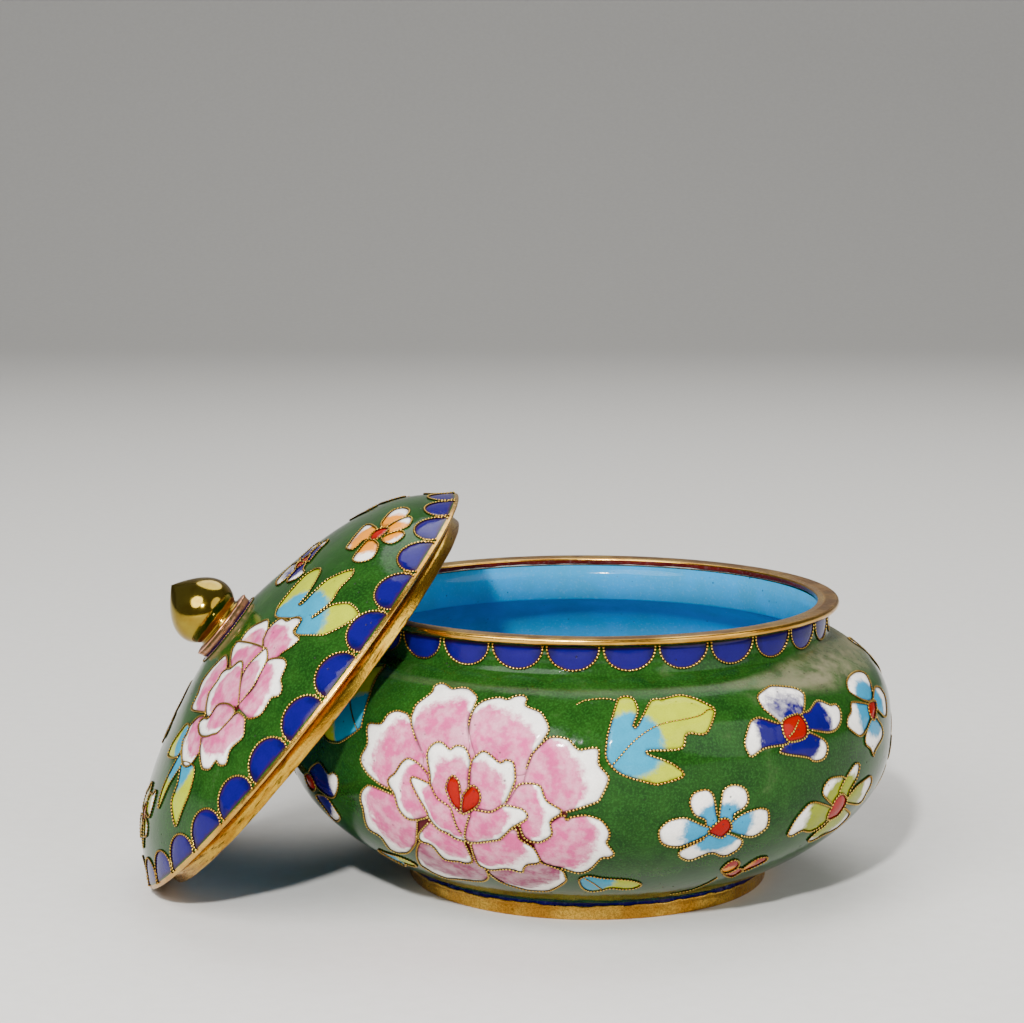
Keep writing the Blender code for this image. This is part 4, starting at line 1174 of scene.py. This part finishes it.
class CLOISONNE_OT_lid(bpy.types.Operator):
    """Turns the dome with its gilt edge and light blue inside, and the seating ring under it"""

    bl_idname = "cloisonne.lid"
    bl_label = "Lid"

    def execute(self, context):
        inks = inks_of(context)
        radii = np.concatenate([np.linspace(LEDGE_RADIUS, 30.0, 10), np.linspace(29.0, 0.0, 30)])[::-1]
        heights = dome_height(radii * LID_RADIUS / (LID_RADIUS - LID_WALL)) - LID_WALL
        hollow = np.stack([radii, heights], axis=1)
        radii = np.concatenate([np.linspace(0.0, 34.0, 50), np.linspace(34.5, LID_RADIUS - 0.3, 40)])[::-1]
        groups = [
            (1, hollow[:-1]),
            (2, hollow[-1:], [(LEDGE_RADIUS, 0.0), (LID_RADIUS - 1.5, 0.0)],
             corner((LID_RADIUS - 0.25, 0.25), 0.25, -90, 40, 6)),
            (0, np.stack([radii, dome_height(radii)], axis=1))]
        ground = shared_material("green lid enamel", ground_enamel, inks, False)
        gilt = shared_material("thin gilt edge", gilding)
        turned_piece("lid_enamel", groups, 288, leaning, [ground, sky_enamel(inks), gilt],
                     "lid_dome")
        groups = [
            (0, corner((FLANGE_INNER + 0.2, -FLANGE_LOW + 0.2), 0.2, 180, 270, 3),
             corner((FLANGE_OUTER - 0.25, -FLANGE_LOW + 0.25), 0.25, -90, 0, 4),
             [(FLANGE_OUTER, -1.6), (FLANGE_OUTER, -SEAT_GAP), (FLANGE_INNER, -SEAT_GAP)])]

        def dented(points):
            """Dents the free edge of the ring."""
            dents = ripples(points, (3, 11, 29), (0.2, 1.9, 3.3), (0.03, 0.03, 0.02))
            points[:, 2] += dents * (points[:, 2] < -2.0)

        ring = shared_material("brushed gilt ring", gilding, round_axis=LID_AXES[2])
        turned_piece("lid_seating_ring", groups, 360, leaning, [ring], "lid_flange", dented)
        return {"FINISHED"}


class CLOISONNE_OT_knob(bpy.types.Operator):
    """Turns the flared collar and the polished bud that stands on it"""

    bl_idname = "cloisonne.knob"
    bl_label = "Knob"

    def execute(self, context):
        low, seat, stem = COLLAR_LOW, COLLAR_LOW - 0.55, COLLAR_LOW + 0.9
        groups = [
            (0, [(0.0, seat), (5.6, seat), (6.05, seat + 0.06), (6.2, seat + 0.3), (6.22, low + 0.1),
                 (6.32, low + 0.5)],
             corner((6.3, low + 0.78), 0.16, -40, 100, 7),
             [(5.95, low + 0.84), (5.5, low + 0.68), (5.1, low + 0.62), (0.0, low + 0.6)])]

        def lobed(points):
            """Draws the collar in between its eleven lobes, from near the stem outwards."""
            angle = np.arctan2(points[:, 1], points[:, 0])
            between = 1.0 - np.abs(np.cos(angle * 5.5)) ** 0.6
            outwards = smooth_step(np.hypot(points[:, 0], points[:, 1]) - 4.6)
            points[:, :2] *= (1.0 - 0.035 * between * outwards)[:, None]

        copper = shared_material("coppery gilt collar", gilding)
        turned_piece("knob_dish", groups, 200, leaning, [copper], "knob_collar", lobed)
        # The bud swells along a sine up to its widest circle, and narrows along a parabola to its tip.
        radius, rise, sweep = 6.0, 3.03, 0.68
        angle, share = np.linspace(sweep, 0.0, 16)[1:], np.linspace(0.0, 1.0, 30)[1:]
        widest, tip = stem + 0.7 + rise, stem + 10.8
        groups = [
            (0, [(0.0, stem), (4.6, stem)], corner((4.72, stem + 0.17), 0.17, -80, 80, 5),
             [(4.45, stem + 0.42)], corner((4.55, stem + 0.58), 0.13, -70, 60, 4),
             np.stack([radius * np.cos(angle), widest - rise * np.sin(angle) / math.sin(sweep)], axis=1),
             np.stack([radius * (1.0 - share ** 2), widest + (tip - widest) * share], axis=1))]
        polished = shared_material("polished gilt bud", gilding)
        turned_piece("knob_bud", groups, 128, leaning, [polished], "knob_finial")
        return {"FINISHED"}


class CLOISONNE_OT_jar_motifs(bpy.types.Operator):
    """Lays the peony, flowers and leaves on the jar, and again half a turn round it"""

    bl_idname = "cloisonne.jar_motifs"
    bl_label = "Jar flowers"

    def execute(self, context):
        for side, shift in (("front", 0.0), ("back", math.pi * BELLY_RADIUS)):
            area = Area(context, on_jar)
            for motif, across, *rest in JAR_LAYOUT:
                lay_motif(area, motif, (across + shift, *rest))
            area.pieces("jar_cells_" + side, "jar_wires_" + side)
        return {"FINISHED"}


class CLOISONNE_OT_jar_scallops(bpy.types.Operator):
    """Lays the blue scallops that hang from the jar's mouth ring"""

    bl_idname = "cloisonne.jar_scallops"
    bl_label = "Jar scallops"

    def execute(self, context):
        count = context.scene.cloisonne_sizes.jar_scallops
        step, top = math.tau * BELLY_RADIUS / count, SIDE_LENGTH[-1] - 0.1
        quarter = np.linspace(-1.0, 1.0, ARCH_POINTS) * math.pi / 2

        def arch(k):
            """Half an oval that hangs from the ring: sines across, and a power of cosines down."""
            middle = math.radians(1.2) * BELLY_RADIUS + (k + 0.5) * step
            return np.stack([middle + JAR_ARCH_HALF * step * np.sin(quarter),
                             top - JAR_ARCH_DEPTH * np.cos(quarter) ** 0.9], axis=1)

        area = Area(context, on_jar)
        lay_scallops(area, count, arch)
        area.pieces("jar_scallop_cells", "jar_scallop_wires")
        return {"FINISHED"}


class CLOISONNE_OT_lid_motifs(bpy.types.Operator):
    """Lays the peony, flowers and leaves on the lid, and again half a turn round it"""

    bl_idname = "cloisonne.lid_motifs"
    bl_label = "Lid flowers"

    def execute(self, context):
        area = Area(context, on_lid)
        for half in (1, -1):
            for motif, across, up, turn, size in LID_LAYOUT:
                lay_motif(area, motif, (half * across, half * up, turn + 90 * (1 - half), size))
        # A night blue disc with a thin wire round it lies under the knob's collar.
        ring = circle(COLLAR_RING_RADIUS, 0.0, 72)
        _, spots, triangles, _ = area.sheet(ring, STEM_LIFT)
        night = area.inks["night_blue"]
        area.cells.take(spots, [triangles], ink=night, tip=night, fade=0.0, blot=0.0, edge=0.0)
        area.wire(ring, RING_LIFT, True, COLLAR_RING_SHARE)
        area.pieces("lid_cells", "lid_wires")
        return {"FINISHED"}


class CLOISONNE_OT_lid_scallops(bpy.types.Operator):
    """Lays the blue scallops along the lid's edge, with a curl of wire between each two"""

    bl_idname = "cloisonne.lid_scallops"
    bl_label = "Lid scallops"

    def execute(self, context):
        count, first = context.scene.cloisonne_sizes.lid_scallops, math.radians(-7.0)
        turn = math.radians(LID_ARCH_TURN) * np.linspace(-1.0, 1.0, ARCH_POINTS)

        def arch(k):
            """A horseshoe from the edge towards the knob, in plan: 220 degrees of an oval."""
            angle = first + (k + 0.5 + LID_ARCH_HALF * np.sin(turn)) * math.tau / count
            radius = LID_RADIUS - 0.22 - LID_ARCH_DEPTH * (np.cos(turn) - math.cos(turn[0]))
            return (radius * np.stack([np.cos(angle), np.sin(angle)])).T[::-1]

        area = Area(context, on_lid)
        lay_scallops(area, count, arch)
        for middle in circle(LID_RADIUS - 1.25, first, count):
            area.wire(middle + circle(CURL_RADIUS, -math.pi, 40), RING_LIFT, True, VEIN_SHARE)
        area.pieces("lid_scallop_cells", "lid_scallop_wires")
        return {"FINISHED"}


class CLOISONNE_OT_stage(bpy.types.Operator):
    """Sets the pale floor, the soft lights and the camera"""

    bl_idname = "cloisonne.stage"
    bl_label = "Stage"

    def execute(self, context):
        # The floor runs level, then turns up behind the jar in a quarter circle.
        angle, columns = np.linspace(0.0, math.pi / 2, 24), 8
        depth = SWEEP_BACK - SWEEP_BEND + SWEEP_BEND * np.sin(angle)
        depth = np.concatenate([[SWEEP_FRONT], depth, [SWEEP_BACK]])
        height = np.concatenate([[0.0], SWEEP_BEND - SWEEP_BEND * np.cos(angle), [SWEEP_TOP]])
        across = np.linspace(-SWEEP_HALF, SWEEP_HALF, columns)
        grid = np.column_stack([np.tile(across, len(depth)), np.repeat(depth, columns),
                                np.repeat(height, columns)])
        mesh = bpy.data.meshes.new("paper_sweep")
        mesh.from_pydata(grid.tolist(), [], grid_quads(len(depth), columns, False, False).tolist())
        mesh.shade_smooth()
        mesh.materials.append(shared_material("pale paper sweep", paper))
        sweep = bpy.data.objects.new("paper_sweep", mesh)
        context.scene.collection.objects.link(sweep)
        world = bpy.data.worlds.new("studio")
        world.use_nodes = True
        background = world.node_tree.nodes["Background"].inputs
        background["Color"].default_value = (0.80, 0.83, 0.88, 1.0)
        background["Strength"].default_value = 0.22
        context.scene.world = world
        for name, spot, width, watts in LIGHTS:
            lamp = bpy.data.lights.new(name, "AREA")
            lamp.shape, lamp.size, lamp.energy = "DISK", width, watts
            light = bpy.data.objects.new(name, lamp)
            aim = unit(np.array(LIT_POINT) - spot)
            side = unit(np.cross(aim, (0.0, 0.0, 1.0)))
            rows = np.column_stack([side, np.cross(side, aim), -aim, spot]).tolist()
            light.matrix_world = Matrix([*rows, (0.0, 0.0, 0.0, 1.0)])
            context.scene.collection.objects.link(light)
        lens = bpy.data.cameras.new("camera")
        lens.sensor_width, lens.lens = SENSOR, SENSOR * LENS_PIXELS / FRAME_PIXELS
        lens.clip_start, lens.clip_end = 0.01, 20.0
        camera = bpy.data.objects.new("camera", lens)
        camera.location = (JAR_AXIS + CAMERA_PLACE) * MM
        camera.rotation_euler = (math.pi / 2 - CAMERA_DIP, 0.0, 0.0)
        context.scene.collection.objects.link(camera)
        context.scene.camera = camera
        return {"FINISHED"}


OPERATORS = (CLOISONNE_OT_stage, CLOISONNE_OT_bowl, CLOISONNE_OT_rings, CLOISONNE_OT_lid, CLOISONNE_OT_knob,
             CLOISONNE_OT_jar_motifs, CLOISONNE_OT_jar_scallops, CLOISONNE_OT_lid_motifs,
             CLOISONNE_OT_lid_scallops)


class CLOISONNE_PT_jar(bpy.types.Panel):
    """Lists the pieces and the values that shape them"""

    bl_idname = "CLOISONNE_PT_jar"
    bl_label = "Cloisonne jar"
    bl_space_type = "VIEW_3D"
    bl_region_type = "UI"
    bl_category = "Jar"

    def draw(self, context):
        for group in (context.scene.cloisonne_sizes, context.scene.cloisonne_inks):
            for key in group.__annotations__:
                self.layout.prop(group, key)
        for operator in OPERATORS:
            self.layout.operator(operator.bl_idname)


CLASSES = (CloisonneSizes, CloisonneInks, *OPERATORS, CLOISONNE_PT_jar)


def register():
    """Registers the classes and gives the scene their values."""
    for item in CLASSES:
        bpy.utils.register_class(item)
    bpy.types.Scene.cloisonne_sizes = bpy.props.PointerProperty(type=CloisonneSizes)
    bpy.types.Scene.cloisonne_inks = bpy.props.PointerProperty(type=CloisonneInks)


def unregister():
    """Takes back what register did."""
    del bpy.types.Scene.cloisonne_inks
    del bpy.types.Scene.cloisonne_sizes
    for item in reversed(CLASSES):
        bpy.utils.unregister_class(item)


def main():
    """Builds every piece and the stage."""
    register()
    for operator in OPERATORS:
        getattr(bpy.ops.cloisonne, operator.bl_idname.split(".")[1])()


if __name__ == "__main__":
    main()
